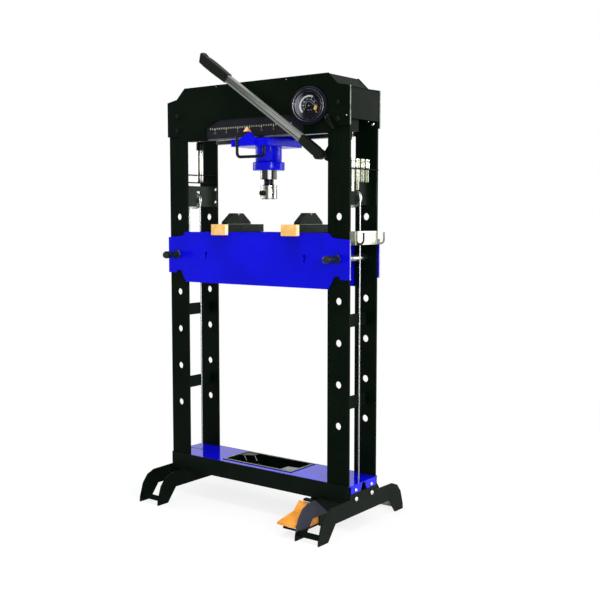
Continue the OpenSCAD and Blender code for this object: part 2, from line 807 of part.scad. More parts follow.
// Bed pin with a tapered tail
module bed_pin(side) {
  color([0.72, 0.73, 0.74]) translate([side * col_x, 0, pin_z]) rotate([-90, 0, 0]) rotate_extrude()
    polygon([[0, -skin_y - pin_grip_len + 12], [pin_r - 3, -skin_y - pin_grip_len + 12],
             [pin_r - 3, -skin_y - 4], [pin_r, -skin_y - 4], [pin_r, pin_tail_y - 6], [pin_r - 5, pin_tail_y],
             [0, pin_tail_y]]);
}

module pin_left() { bed_pin(-1); }
module pin_right() { bed_pin(1); }

// Rubber grip with a domed end over the pin's front end
module pin_grip(side) {
  r = pin_r + 2;
  inner = pin_r - 3 + weld_gap;
  tip = -skin_y - 4 - pin_grip_len;
  color([0.04, 0.04, 0.04]) translate([side * col_x, 0, pin_z]) rotate([-90, 0, 0]) rotate_extrude()
    polygon([[0, tip], [r * 0.5, tip + 1], [r * 0.85, tip + 5], [r, tip + 12], [r - 1.5, tip + 40],
             [r, -skin_y - 10], [r + 2, -skin_y - 7], [r + 2, -skin_y - 4 - weld_gap],
             [inner, -skin_y - 4 - weld_gap],
             [inner, tip + 16 - weld_gap], [0, tip + 16 - weld_gap]]);
}

module pin_grip_left() { pin_grip(-1); }
module pin_grip_right() { pin_grip(1); }

// Hangers on the columns

// Folded shelf between the right-hand bars, with a hole for each mandrel
module mandrel_rack() {
  shelf = [rack_x - 24, rack_x + 22];
  color([0.07, 0.08, 0.07]) difference() {
    union() {
      translate([col_x + shelf[0], -gap_y, rack_z - sheet_t]) cube([shelf[1] - shelf[0], 2 * gap_y, sheet_t]);
      for (y = [-gap_y, gap_y - sheet_t]) translate([col_x + shelf[0], y, rack_z - 26])
        cube([bar_w / 2 - shelf[0], sheet_t, 26]);
    }
    for (y = mandrel_y) translate([col_x + rack_x, y, rack_z - sheet_t - 1])
      cylinder(d = mandrel_d + 2 * weld_gap, h = sheet_t + 2);
  }
}

// Mandrels: a grooved head that rests on the shelf and a plain shank
module mandrels() {
  head_r = mandrel_d / 2 + 3;
  shank_r = mandrel_d / 2;
  ring_z = mandrel_head_h * 0.7;
  color([0.8, 0.81, 0.82]) for (i = [0 : len(mandrel_y) - 1])
    translate([col_x + rack_x, mandrel_y[i], rack_z]) rotate_extrude()
      polygon([[0, -mandrel_drop[i]], [shank_r - 2, -mandrel_drop[i]], [shank_r, 2 - mandrel_drop[i]],
               [shank_r, 0], [head_r, 0], [head_r, ring_z - 3], [head_r - 2, ring_z - 2],
               [head_r - 2, ring_z + 2], [head_r, ring_z + 3], [head_r, mandrel_head_h - 2],
               [head_r - 2, mandrel_head_h], [0, mandrel_head_h]]);
}

// Folded holder between the left-hand bars: a shelf with a hole over a seat
module tube_rack() {
  wide = 50;
  x0 = tube_place[0] - wide / 2;
  color([0.07, 0.08, 0.07]) difference() {
    union() {
      for (z = [rack_z, rack_z - tube_drop])
        translate([x0, -gap_y, z - sheet_t]) cube([wide, 2 * gap_y, sheet_t]);
      for (y = [-gap_y, gap_y - sheet_t]) translate([x0, y, rack_z - tube_drop - sheet_t])
        cube([wide, sheet_t, tube_drop + sheet_t]);
    }
    translate([tube_place[0], tube_place[1], rack_z - sheet_t - 1])
      cylinder(d = tube_d + 2 * weld_gap, h = sheet_t + 2);
  }
}

module stowed_tube() {
  color([0.8, 0.81, 0.82]) translate([tube_place[0], tube_place[1], rack_z - tube_drop]) difference() {
    cylinder(d = tube_d, h = tube_len);
    translate([0, 0, 4]) cylinder(d = tube_d - 6, h = tube_len);
  }
}

module tube_cap() {
  r = tube_d / 2;
  top = rack_z - tube_drop + tube_len;
  color([0.04, 0.04, 0.04]) translate([tube_place[0], tube_place[1], top]) rotate_extrude()
    polygon([[r + weld_gap, -24], [r + 3, -24], [r + 3, 4], [r + 1, 11], [r * 0.6, 17], [0, 19], [0, 0],
             [r + weld_gap, 0]]);
}

// Folded zinc bracket with two upturned hooks, on the outer edges of the right-hand bars
module hook_bracket() {
  hook_r = hook_out / 2;
  slot_r = hook_r - 8;
  color([0.75, 0.76, 0.66]) union() {
    translate([bar_out, -face_y, hook_z]) cube([sheet_t, 2 * face_y, hook_h]);
    for (y = hook_y) along_y(y, sheet_t) translate([bar_out, hook_z]) difference() {
      union() {
        translate([hook_r, hook_r]) circle(r = hook_r);
        translate([0, hook_r]) square([hook_out, hook_h - hook_r]);
        square([hook_r, hook_h]);
      }
      translate([hook_r, hook_r]) circle(r = slot_r);
      translate([hook_r - slot_r, hook_r]) square([2 * slot_r, hook_h]);
      translate([hook_r, hook_h - 5]) square([hook_out, 6]);
    }
  }
}

// Folded bracket between two bars, with cheeks and an axle for the sheave
module sheave_bracket(side) {
  low = sheave_z - bracket_low;
  cheek_y = sheave_w / 2 + 2;
  color([0.13, 0.14, 0.13]) translate([side * col_x, 0, 0]) union() {
    difference() {
      translate([web_x, -gap_y, low]) cube([web_t, 2 * gap_y, bracket_h]);
      translate([web_x - 1, -sheave_w / 2 - 3, low - 1])
        cube([web_t + 2, sheave_w + 6, sheave_z - low + sheave_rim + 5]);
    }
    for (y = [-gap_y, gap_y - web_t]) translate([web_x, y, low]) cube([bar_w / 2 - web_x, web_t, bracket_h]);
    for (y = [-cheek_y - web_t, cheek_y])
      translate([-11, y, sheave_z - 12]) cube([web_x + web_t + 11, web_t, 24]);
    bar_y(0, sheave_z, sheave_axle_r, -cheek_y - web_t - 3, cheek_y + web_t + 3);
  }
}

module sheave_brackets() { for (side = [-1, 1]) sheave_bracket(side); }

module sheave(side) {
  half = sheave_w / 2;
  groove_r = cable_d / 2 + seat_gap;
  color([0.8, 0.8, 0.82]) translate([side * col_x, 0, sheave_z]) rotate([90, 0, 0]) difference() {
    rotate_extrude() difference() {
      polygon([[sheave_axle_r + run_gap, -half], [sheave_rim, -half], [sheave_rim, half],
               [sheave_axle_r + run_gap, half]]);
      translate([sheave_r, 0]) circle(r = groove_r);
      translate([sheave_r, -groove_r]) square([sheave_rim, 2 * groove_r]);
    }
    for (a = [0 : 60 : 300]) rotate(a) translate([(sheave_axle_r + sheave_groove) / 2 + 2, 0, -half - 1])
      cylinder(r = 4, h = sheave_w + 2);
  }
}

module sheave_left() { sheave(-1); }
module sheave_right() { sheave(1); }

// Steel cables: from under the deck, over the sheave and down to the bed's lug
module lifting_cable(x, lug_z) {
  r = cable_d / 2;
  deck_under = deck_z - sheet_t;
  translate([x, 0, 0]) {
    translate([sheave_r, 0, deck_under - ferrule_h]) cylinder(r = r, h = sheave_z - deck_under + ferrule_h);
    translate([0, 0, sheave_z]) rotate([90, 0, 0]) rotate_extrude(angle = 180)
      translate([sheave_r, 0]) circle(r = r);
    translate([-sheave_r, 0, lug_z - ferrule_h]) cylinder(r = r, h = sheave_z - lug_z + ferrule_h);
    translate([sheave_r, 0, deck_under - ferrule_h]) cylinder(r = ferrule_r, h = ferrule_h);
    translate([-sheave_r, 0, lug_z - ferrule_h]) cylinder(r = ferrule_r, h = ferrule_h);
  }
}

module lifting_cables() {
  color([0.7, 0.71, 0.72]) {
    lifting_cable(-col_x, lug_out_z);
    lifting_cable(col_x, lug_in_z);
  }
}

// Base

module base_side_plates() {
  color([0.07, 0.08, 0.07]) for (y = [-skin_y, face_y])
    translate([-bar_out, y, base_z]) cube([2 * bar_out, plate_t, base_h]);
}

// Deck sheet with notches for the bars, a tray opening, slits for the cables and end flanges
module base_deck() {
  under = deck_z - sheet_t;
  slit = 4;
  deck_x = bar_out + foot_t;
  flange_low = crown_z + 1;
  color([0.1, 0.09, 0.85]) union() {
    translate([0, 0, under]) linear_extrude(sheet_t) difference() {
      translate([-deck_x, -face_y]) square([2 * deck_x, 2 * face_y]);
      for (side = [-1, 1], y = [-face_y - 1, gap_y]) translate([side > 0 ? bar_in : -bar_out, y])
        square([bar_w, bar_t + 1]);
      translate(tray_place) square([tray_w + 1, tray_l + 1], center = true);
      for (side = [-1, 1]) {
        hole_x = side * col_x + sheave_r;
        translate([hole_x, 0]) circle(r = cable_d / 2 + 1);
        translate([side > 0 ? hole_x : -deck_x - 1, -slit / 2])
          square([side > 0 ? deck_x - hole_x + 1 : hole_x + deck_x + 1, slit]);
      }
    }
    for (side = [-1, 1], half = [-1, 1])
      along_x(side > 0 ? deck_x - sheet_t : -deck_x, sheet_t) difference() {
        polygon([[half * (gap_y - 1), deck_z - 1], [half * 8, deck_z - 1], [half * 21, flange_low],
                 [half * (gap_y - 1), flange_low]]);
        translate([half * foot_bolt[0], flange_bolt_z]) circle(r = head_bolt_r * 0.6 + weld_gap);
      }
  }
}

// Sheet-metal tray that hangs in the deck by its rim, with two low dividers
module tool_tray() {
  low = deck_z - tray_h;
  rim_t = 3;
  color([0.06, 0.06, 0.06]) translate([tray_place[0], tray_place[1], 0]) union() {
    difference() {
      union() {
        translate([-tray_w / 2, -tray_l / 2, low]) cube([tray_w, tray_l, tray_h + rim_t]);
        translate([-tray_w / 2 - tray_rim, -tray_l / 2 - tray_rim, deck_z])
          cube([tray_w + 2 * tray_rim, tray_l + 2 * tray_rim, rim_t]);
      }
      translate([-tray_w / 2 + tray_wall, -tray_l / 2 + tray_wall, low + tray_wall])
        cube([tray_w - 2 * tray_wall, tray_l - 2 * tray_wall, tray_h + rim_t]);
    }
    for (x = [46, 84]) translate([x - tray_w / 2, -tray_l / 2 + 1, low + 1])
      cube([tray_wall, tray_l - 2, tray_h * 0.6]);
  }
}

foot_half_outline = [[face_y - 6, crown_z], [face_y - 4, crown_z - 20], [foot_half - 84, crown_z - 22],
                     [foot_half - 47, crown_z - 36], [foot_half - 20, crown_z - 68], [foot_half - 2, 22],
                     [foot_half, 0], [foot_half - tip_len, 0], [foot_half - tip_len - 48, arch_z]];

// Foot: two arched plates hugging the bars, joined by a flat bar near each tip
module foot(side) {
  bar_y0 = foot_half - 16;
  cross = [6, 22];
  cross_z = [16, 3];
  inner_x = bar_in - foot_t;
  color([0.07, 0.08, 0.07]) scale([side, 1, 1]) union() {
    along_x(inner_x, foot_t) difference() {
      polygon(both_sides(foot_half_outline));
      for (y = [-skin_y, face_y]) translate([y, base_z]) square([plate_t, crown_z]);
    }
    along_x(bar_out, foot_t) difference() {
      polygon(both_sides(foot_half_outline));
      for (half = [-1, 1]) translate([half * foot_bolt[0], crown_z - foot_bolt[1]])
        circle(r = head_bolt_r * 0.6 + weld_gap);
    }
    for (i = [0, 1]) translate([inner_x + 1, (2 * i - 1) * bar_y0 - cross[0] / 2, cross_z[i]])
      cube([bar_w + 2 * foot_t - 2, cross[0], cross[1]]);
  }
}

module foot_left() { mirror([1, 0, 0]) foot(1); }

// The right foot also carries the pedal's pivot pin on its inner plate
module foot_right() {
  pin_end = pedal_x - 6;
  union() {
    foot(1);
    color([0.07, 0.08, 0.07]) translate([pin_end, pedal_pivot[0], pedal_pivot[1]]) rotate([0, 90, 0])
      cylinder(r = pedal_pin_r, h = bar_in - foot_t - pin_end + 1);
  }
}

// Foot pump on the inner side of the right foot, behind the base's front plate
module foot_pump() {
  size = [76, 70, 78];
  place = [bar_in - foot_t - size[0], -face_y + 6, arch_z + 3];
  color([0.12, 0.13, 0.12]) union() {
    translate(place) cube(size);
    translate([place[0] + size[0] / 2, place[1] + size[1] / 2, place[2] + size[2] - 1])
      cylinder(r = 20, h = 18);
  }
}

// Pedal: a folded tread with a rising toe stop, a front lip, deep sides and a hub on the pivot pin
module pedal() {
  tread = [pedal_front, pedal_crease, pedal_top];
  side = [[pedal_front[0] + pedal_t, pedal_front[1] - 1], pedal_crease, [pedal_top[0] + 4, pedal_top[1] - 12],
          [pedal_pivot[0], pedal_pivot[1] + 12], [pedal_pivot[0] + 12, pedal_pivot[1]],
          [skirt_back[1] + 12, skirt_z + 18], [skirt_back[1], skirt_z], [skirt_back[0], skirt_z],
          [pedal_front[0] + pedal_t, pedal_front[1] - pedal_lip]];
  color([0.95, 0.55, 0.12]) difference() {
    union() {
      along_x(pedal_x, pedal_w) polygon(concat(tread, [for (i = [2 : -1 : 0]) tread[i] - [0, pedal_t]]));
      translate([pedal_x, pedal_front[0], pedal_front[1] - pedal_lip]) cube([pedal_w, pedal_t, pedal_lip]);
      for (x = [pedal_x, pedal_x + pedal_w - pedal_t]) along_x(x, pedal_t) polygon(side);
      translate([pedal_x, pedal_pivot[0], pedal_pivot[1]]) rotate([0, 90, 0])
        cylinder(r = pedal_pin_r + 5, h = pedal_w);
    }
    translate([pedal_x - 1, pedal_pivot[0], pedal_pivot[1]]) rotate([0, 90, 0])
      cylinder(r = pedal_pin_r + run_gap, h = pedal_w + 2);
  }
}

column_front_left();
column_front_right();
column_rear_left();
column_rear_right();
column_ties();
head_front_plate();
head_rear_plate();
head_top_cover();
head_end_covers();
frame_bolts();
carriage_rails();
scale_plate();
gauge_case();
gauge_dial();
gauge_glass();
gauge_needle();
release_valve();
release_paddle();
pump_body();
lever_socket();
lever_arm();
lever_grip();
carriage_plate();
carriage_shoes();
pointer_bracket();
pointer();
carriage_handle();
cylinder_barrel();
cylinder_collar();
ram_rod();
ram_stub();
tool_holder();
holder_screw();
bed_front_plate();
bed_rear_plate();
bed_cross_plates();
block_left();
block_right();
block_caps();
pin_left();
pin_right();
pin_grip_left();
pin_grip_right();
mandrel_rack();
mandrels();
tube_rack();
stowed_tube();
tube_cap();
hook_bracket();
sheave_brackets();
sheave_left();
sheave_right();
lifting_cables();
base_side_plates();
base_deck();
tool_tray();
foot_left();
foot_right();
foot_pump();
pedal();
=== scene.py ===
import json
from math import cos, pi, radians, sin

import bmesh
import bpy
from mathutils import Matrix, Vector


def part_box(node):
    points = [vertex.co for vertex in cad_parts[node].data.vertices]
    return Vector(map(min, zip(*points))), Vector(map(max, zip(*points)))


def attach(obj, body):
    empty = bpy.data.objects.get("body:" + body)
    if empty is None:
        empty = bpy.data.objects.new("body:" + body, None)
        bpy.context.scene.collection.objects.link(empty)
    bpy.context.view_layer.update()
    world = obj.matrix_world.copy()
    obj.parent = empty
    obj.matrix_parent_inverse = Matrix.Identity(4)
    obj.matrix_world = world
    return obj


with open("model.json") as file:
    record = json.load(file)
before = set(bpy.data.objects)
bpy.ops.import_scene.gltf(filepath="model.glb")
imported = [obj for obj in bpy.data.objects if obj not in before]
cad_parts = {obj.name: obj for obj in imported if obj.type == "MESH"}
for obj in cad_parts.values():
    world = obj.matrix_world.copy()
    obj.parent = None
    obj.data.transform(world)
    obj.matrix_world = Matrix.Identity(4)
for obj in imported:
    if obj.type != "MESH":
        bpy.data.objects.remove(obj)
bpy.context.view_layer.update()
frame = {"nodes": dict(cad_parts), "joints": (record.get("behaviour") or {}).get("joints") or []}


# Columns: four flat steel bars drilled in rows for the bed pins, with short flats
# welded across each pair. Sawn, drilled and powder coated in a satin black that
# has a faint green cast.

def new_finish(name, roughness, metallic=0.0, specular=0.5):
    finish = bpy.data.materials.new(name)
    finish.use_nodes = True
    shader = finish.node_tree.nodes["Principled BSDF"]
    shader.inputs["Roughness"].default_value = roughness
    shader.inputs["Metallic"].default_value = metallic
    shader.inputs["Specular IOR Level"].default_value = specular
    return finish, finish.node_tree, shader


def grain(tree, scale, detail=3.0, stretch=(1.0, 1.0, 1.0)):
    place = tree.nodes.new("ShaderNodeTexCoord")
    spread = tree.nodes.new("ShaderNodeMapping")
    spread.inputs["Scale"].default_value = stretch
    noise = tree.nodes.new("ShaderNodeTexNoise")
    noise.inputs["Scale"].default_value = scale
    noise.inputs["Detail"].default_value = detail
    tree.links.new(place.outputs["Object"], spread.inputs["Vector"])
    tree.links.new(spread.outputs["Vector"], noise.inputs["Vector"])
    return noise.outputs["Fac"]


def tint(tree, factor, stops):
    ramp = tree.nodes.new("ShaderNodeValToRGB")
    points = ramp.color_ramp.elements
    points[0].position, points[0].color = stops[0][0], (*stops[0][1], 1.0)
    points[1].position, points[1].color = stops[-1][0], (*stops[-1][1], 1.0)
    for place, colour in stops[1:-1]:
        points.new(place).color = (*colour, 1.0)
    tree.links.new(factor, ramp.inputs["Fac"])
    return ramp.outputs["Color"]


def paint(tree, shader, colour):
    tree.links.new(colour, shader.inputs["Base Color"])


def mottle(tree, shader, factor, dark, light, low=0.35, high=0.65):
    paint(tree, shader, tint(tree, factor, [(low, dark), (high, light)]))


def vary_roughness(tree, shader, factor, low, high):
    span = tree.nodes.new("ShaderNodeMapRange")
    span.inputs["To Min"].default_value = low
    span.inputs["To Max"].default_value = high
    tree.links.new(factor, span.inputs["Value"])
    tree.links.new(span.outputs["Result"], shader.inputs["Roughness"])


def raise_grain(tree, shader, factor, depth, strength=0.5):
    bump = tree.nodes.new("ShaderNodeBump")
    bump.inputs["Strength"].default_value = strength
    bump.inputs["Distance"].default_value = depth
    tree.links.new(factor, bump.inputs["Height"])
    tree.links.new(bump.outputs["Normal"], shader.inputs["Normal"])


def powder_coat(name, dark, light, specular):
    finish, tree, shader = new_finish(name, 0.42, specular=specular)
    mottle(tree, shader, grain(tree, 7.0), dark, light)
    vary_roughness(tree, shader, grain(tree, 40.0), 0.34, 0.48)
    raise_grain(tree, shader, grain(tree, 1200.0, 2.0), 0.00005)
    return finish


def dress(nodes, finish, edge=0.0, flat_plate=False):
    for node in nodes:
        piece = frame["nodes"][node]
        for holder in piece.material_slots:
            holder.material = finish
        if edge:
            joined = piece.modifiers.new("joined", "WELD")
            joined.merge_threshold = 0.00001
            if flat_plate:
                flat = piece.modifiers.new("flat", "DECIMATE")
                flat.decimate_type = "DISSOLVE"
                flat.angle_limit = radians(0.6)
            rounded = piece.modifiers.new("rounded", "BEVEL")
            rounded.width = edge
            rounded.segments = 2
            rounded.limit_method = "ANGLE"
            rounded.angle_limit = radians(35)
            rounded.harden_normals = True


coat_dark, coat_light = (0.0012, 0.0038, 0.0016), (0.0024, 0.0057, 0.0028)
coat_gloss = 0.02
plate_edge = 0.0012
black_coat = powder_coat("black_coat", coat_dark, coat_light, coat_gloss)
dress(["column_front_left", "column_front_right", "column_rear_left", "column_rear_right"],
      black_coat, plate_edge)
# A lighter copy of the black coat, painted light as if lit, for the ties and the base's side plates.
lit_black_coat = powder_coat("lit_black_coat", (0.0032, 0.006, 0.0036), (0.0054, 0.0086, 0.0058), coat_gloss)
dress(["column_ties"], lit_black_coat, plate_edge)


# Head: two bent-edge side plates, a folded top cover and two end covers, all sheet
# and plate steel in the same black coat, bolted to the columns with button heads.

def bare_steel(name, dark, light, rough, stretch, scale=90.0):
    finish, tree, shader = new_finish(name, rough[0], metallic=1.0)
    lay = grain(tree, scale, 4.0, stretch)
    mottle(tree, shader, lay, dark, light, 0.25, 0.75)
    vary_roughness(tree, shader, lay, *rough)
    raise_grain(tree, shader, lay, 0.00003, 0.3)
    return finish


to_right, to_rear, upward = (1, 0, 0), (0, 1, 0), (0, 0, 1)


def across(tree, direction, low, high):
    """0 to 1 along a direction of the press, between two distances from its origin."""
    spot = tree.nodes.new("ShaderNodeTexCoord")
    along = tree.nodes.new("ShaderNodeVectorMath")
    along.operation = "DOT_PRODUCT"
    along.inputs[1].default_value = direction
    step = tree.nodes.new("ShaderNodeMapRange")
    step.inputs["From Min"].default_value = low
    step.inputs["From Max"].default_value = high
    tree.links.new(spot.outputs["Object"], along.inputs[0])
    tree.links.new(along.outputs["Value"], step.inputs["Value"])
    return step.outputs["Result"]


def mixed(tree, factor, first, second, way="MIX"):
    blend = tree.nodes.new("ShaderNodeMix")
    blend.data_type = "RGBA"
    blend.blend_type = way
    if isinstance(factor, float):
        blend.inputs[0].default_value = factor
    else:
        tree.links.new(factor, blend.inputs[0])
    tree.links.new(first, blend.inputs[6])
    tree.links.new(second, blend.inputs[7])
    return blend.outputs[2]


def lay_over(finish, factor, colour, way="MIX"):
    """Lays a second colour over a finish where the factor says."""
    tree = finish.node_tree
    base = tree.nodes["Principled BSDF"].inputs["Base Color"]
    tree.links.new(mixed(tree, factor, base.links[0].from_socket, colour, way), base)


def painted_end_highlight(finish, edge_x, dark, light):
    """Paints a light band on a plate's right end, a painted highlight."""
    tree = finish.node_tree
    # The light band stands in for the highlight where the end catches light from the right.
    end_highlight = tint(tree, grain(tree, 60.0), [(0.3, dark), (0.7, light)])
    lay_over(finish, across(tree, to_right, edge_x - 0.0007, edge_x - 0.0003), end_highlight)


def put(name, bm, finish, body):
    mesh = bpy.data.meshes.new(name)
    bm.to_mesh(mesh)
    bm.free()
    piece = bpy.data.objects.new(name, mesh)
    bpy.context.scene.collection.objects.link(piece)
    mesh.materials.append(finish)
    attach(piece, body)


def add_turned(bm, profile, place, steps=24):
    """A turned shape from (radius, height) steps about the place's own z."""
    old = set(bm.verts)
    ring = [bm.verts.new((radius, 0, height)) for radius, height in profile]
    edges = [bm.edges.new(pair) for pair in zip(ring, ring[1:])]
    bmesh.ops.spin(bm, geom=ring + edges, cent=(0, 0, 0), axis=(0, 0, 1), angle=2 * pi, steps=steps,
                   use_merge=True)
    bmesh.ops.remove_doubles(bm, verts=[v for v in bm.verts if v not in old], dist=0.00001)
    new = [v for v in bm.verts if v not in old]
    faces = list({face for v in new for face in v.link_faces})
    bmesh.ops.recalc_face_normals(bm, faces=faces)
    for face in faces:
        face.smooth = True
    bmesh.ops.transform(bm, matrix=place, verts=new)


def add_button(bm, radius, place):
    add_turned(bm, [(0, radius * 0.7), (radius * 0.45, radius * 0.65), (radius * 0.8, radius * 0.45),
                    (radius, radius * 0.12), (radius, 0), (0, 0)], place)


facing_front = Matrix.Rotation(radians(90), 4, "X")
head_low, head_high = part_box("head_front_plate")
plate_coat = powder_coat("plate_coat", coat_dark, coat_light, coat_gloss)
# The head plates' right ends are painted light, a painted highlight.
painted_end_highlight(plate_coat, head_high.x, (0.12, 0.13, 0.11), (0.33, 0.35, 0.31))
dress(["head_front_plate", "head_rear_plate"], plate_coat, plate_edge, flat_plate=True)
dress(["head_top_cover", "head_end_covers"], black_coat, plate_edge)
bolt_plating, tree, shader = new_finish("bolt_plating", 0.32, specular=0.05)
painted_from_z = 1.0
painted_above = across(tree, upward, painted_from_z - 0.001, painted_from_z + 0.001)
lay = grain(tree, 160.0)
bright = tint(tree, lay, [(0.3, (0.5, 0.51, 0.49)), (0.7, (0.74, 0.75, 0.72))])
black = tint(tree, lay, [(0.3, (0.0012, 0.0034, 0.0014)), (0.7, (0.003, 0.006, 0.0034))])
paint(tree, shader, mixed(tree, painted_above, bright, black))
vary_roughness(tree, shader, lay, 0.24, 0.42)
bare = tree.nodes.new("ShaderNodeMapRange")
bare.inputs["To Min"].default_value = 0.85
bare.inputs["To Max"].default_value = 0.0
tree.links.new(painted_above, bare.inputs["Value"])
tree.links.new(bare.outputs["Result"], shader.inputs["Metallic"])
fine_edge = 0.0006
dress(["frame_bolts"], bolt_plating, fine_edge)
zinc_screw = bare_steel("zinc_screw", (0.34, 0.35, 0.33), (0.8, 0.81, 0.78), (0.2, 0.36), (1, 1, 1), 240.0)
screws = bmesh.new()
rear_face_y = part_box("column_rear_right")[0].y
for x, y, z, radius in ((0.4537, head_low.y, 1.5801, 0.0023), (-0.1895, head_low.y, 1.7347, 0.0015),
                        (0.1713, head_low.y, 1.7337, 0.0015), (0.4456, rear_face_y, 1.5626, 0.0082),
                        (0.4236, rear_face_y, 1.5724, 0.0036)):
    add_button(screws, radius, Matrix.Translation((x, y, z)) @ facing_front)
put("head_screws", screws, zinc_screw, "frame")


# Rails and scale: bright flat rails carry the carriage, and a dark painted plate behind
# the head's window bears printed ticks and plain numbers for the carriage's place.

rail_steel = bare_steel("rail_steel", (0.02, 0.021, 0.021), (0.2, 0.205, 0.2), (0.2, 0.36), (1, 14, 14), 40.0)
# The rails' right ends are painted bright, a painted highlight.
painted_end_highlight(rail_steel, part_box("carriage_rails")[1].x, (0.6, 0.61, 0.58), (0.85, 0.86, 0.83))
sheet_edge = 0.0008
dress(["carriage_rails"], rail_steel, sheet_edge)
scale_coat = powder_coat("scale_coat", (0.0075, 0.0085, 0.0135), (0.0115, 0.013, 0.019), 0.08)
dress(["scale_plate"], scale_coat, fine_edge)


def printed_ink(name, dark, light):
    finish, tree, shader = new_finish(name, 0.5, specular=0.3)
    mottle(tree, shader, grain(tree, 900.0), dark, light)
    return finish


def add_bar(bm, size, place):
    bmesh.ops.create_cube(bm, size=1.0, matrix=place @ Matrix.Diagonal((*size, 1.0)))


def add_numeral(bm, words, height, place):
    letters = bpy.data.curves.new("numeral", "FONT")
    letters.body = words
    capital_share = 0.7
    letters.size = height / capital_share
    letters.align_x = "CENTER"
    letters.align_y = "CENTER"
    letters.extrude = 0.0002
    holder = bpy.data.objects.new("numeral", letters)
    flat = holder.to_mesh()
    flat.transform(place)
    bm.from_mesh(flat)
    holder.to_mesh_clear()
    bpy.data.objects.remove(holder)
    bpy.data.curves.remove(letters)


scale_ink = printed_ink("scale_ink", (0.5, 0.5, 0.32), (0.78, 0.77, 0.54))
number_ink = printed_ink("number_ink", (0.14, 0.14, 0.055), (0.3, 0.29, 0.13))
scale_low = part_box("scale_plate")[0]
scale_face_y = head_high.y - 0.0001
scale_zero_x = -0.019
tick_step = 0.01232
ticks_each = 5
ticks_aside = 17
numbers_aside = 3
tick_z = scale_low.z + 0.0394
tick_top = tick_z + 0.0035
ticks = bmesh.new()
for i in range(-ticks_aside, ticks_aside + 1):
    x = scale_zero_x + i * tick_step
    tall = 0.0105 if i % ticks_each == 0 else 0.0064
    add_bar(ticks, (0.0027, 0.0006, tall), Matrix.Translation((x, scale_face_y, tick_top - tall / 2)))
put("scale_ticks", ticks, scale_ink, "frame")
numbers = bmesh.new()
for mark in range(-numbers_aside, numbers_aside + 1):
    x = scale_zero_x + mark * ticks_each * tick_step
    place = Matrix.Translation((x, scale_face_y, tick_z - 0.0175)) @ facing_front
    add_numeral(numbers, str(abs(mark) * 4), 0.0095, place)
put("scale_numbers", numbers, number_ink, "frame")


# Gauge: a black moulded case on the head with a navy flange, a stepped bezel and two trim rings
# with painted highlights at their sides. A printed black dial and a thin needle lie under flat glass
# that has a painted reflection at its left.

needle_joint = next(joint for joint in frame["joints"] if joint["name"] == "needle_turn")
dial_out = -Vector(needle_joint["axis"])
dial_up = Vector((0, 0, 1))
dial_right = dial_up.cross(dial_out)
dial_back = 0.0098
dial_centre = Vector(needle_joint["pos_m"]) - dial_out * dial_back
dial_place = Matrix((dial_right, dial_up, dial_out)).transposed().to_4x4()
dial_place.translation = dial_centre
dial_middle = dial_right.dot(dial_centre)
bezel_black, tree, shader = new_finish("bezel_black", 0.16, specular=0.1)
mottle(tree, shader, grain(tree, 30.0), (0.002, 0.002, 0.006), (0.005, 0.005, 0.011))
vary_roughness(tree, shader, grain(tree, 70.0), 0.12, 0.2)
dress(["gauge_case"], bezel_black, plate_edge)
dial_black, tree, shader = new_finish("dial_black", 0.5, specular=0.05)
mottle(tree, shader, grain(tree, 300.0), (0.0018, 0.0018, 0.0036), (0.004, 0.004, 0.0066))
dress(["gauge_dial", "gauge_needle"], dial_black)
clear_glass, tree, shader = new_finish("clear_glass", 0.03, specular=0.15)
mottle(tree, shader, grain(tree, 12.0), (0.012, 0.013, 0.016), (0.02, 0.021, 0.025))
vary_roughness(tree, shader, grain(tree, 25.0), 0.02, 0.08)
shader.inputs["Alpha"].default_value = 0.12
# The glass's left part has a painted reflection: a grey sheen that fades towards the middle.
glass_reflection = tint(tree, across(tree, dial_right, dial_middle - 0.05, dial_middle), [
    (0.0, (0.42, 0.42, 0.46)), (0.2, (0.66, 0.66, 0.7)), (0.42, (0.2, 0.2, 0.22)), (0.7, (0.0, 0.0, 0.0))])
lay_over(clear_glass, 1.0, glass_reflection, "ADD")
dress(["gauge_glass"], clear_glass)
dial_ink = printed_ink("dial_ink", (0.62, 0.63, 0.68), (0.85, 0.86, 0.92))
amber_ink = printed_ink("amber_ink", (0.72, 0.42, 0.06), (0.9, 0.58, 0.14))
red_ink = printed_ink("red_ink", (0.2, 0.012, 0.03), (0.32, 0.025, 0.05))
grey_ink = printed_ink("grey_ink", (0.5, 0.5, 0.55), (0.76, 0.76, 0.83))
flange_navy, tree, shader = new_finish("flange_navy", 0.4, specular=0.03)
mottle(tree, shader, grain(tree, 40.0), (0.0038, 0.0042, 0.0085), (0.0058, 0.0063, 0.0125))
vary_roughness(tree, shader, grain(tree, 70.0), 0.32, 0.48)
ring_steps = 64
flange = bmesh.new()
add_turned(flange, [(0.061, 0.0115), (0.067, 0.0105), (0.071, 0.0075), (0.0725, 0.003), (0.071, -0.002),
                    (0.061, -0.004), (0.061, 0.0115)], dial_place, ring_steps)
put("gauge_flange", flange, flange_navy, "frame")


def add_arc(bm, inner, outer, start, end, place):
    """A flat band from one clock angle to another, in degrees clockwise from the top."""
    old = set(bm.verts)
    a, b = (bm.verts.new((0, radius, 0)) for radius in (inner, outer))
    edge = bm.edges.new((a, b))
    spot = Vector((0, 0, 0))
    bmesh.ops.rotate(bm, verts=[a, b], cent=spot, matrix=Matrix.Rotation(radians(-start), 3, "Z"))
    bmesh.ops.spin(bm, geom=[a, b, edge], cent=spot, axis=(0, 0, -1), angle=radians(end - start),
                   steps=max(4, int((end - start) / 5)))
    bmesh.ops.transform(bm, matrix=place, verts=[v for v in bm.verts if v not in old])


def clock(degrees, radius, place):
    """A spot on the dial with its own x along the circle and y outwards."""
    return place @ Matrix.Rotation(radians(-degrees), 4, "Z") @ Matrix.Translation((0, radius, 0))


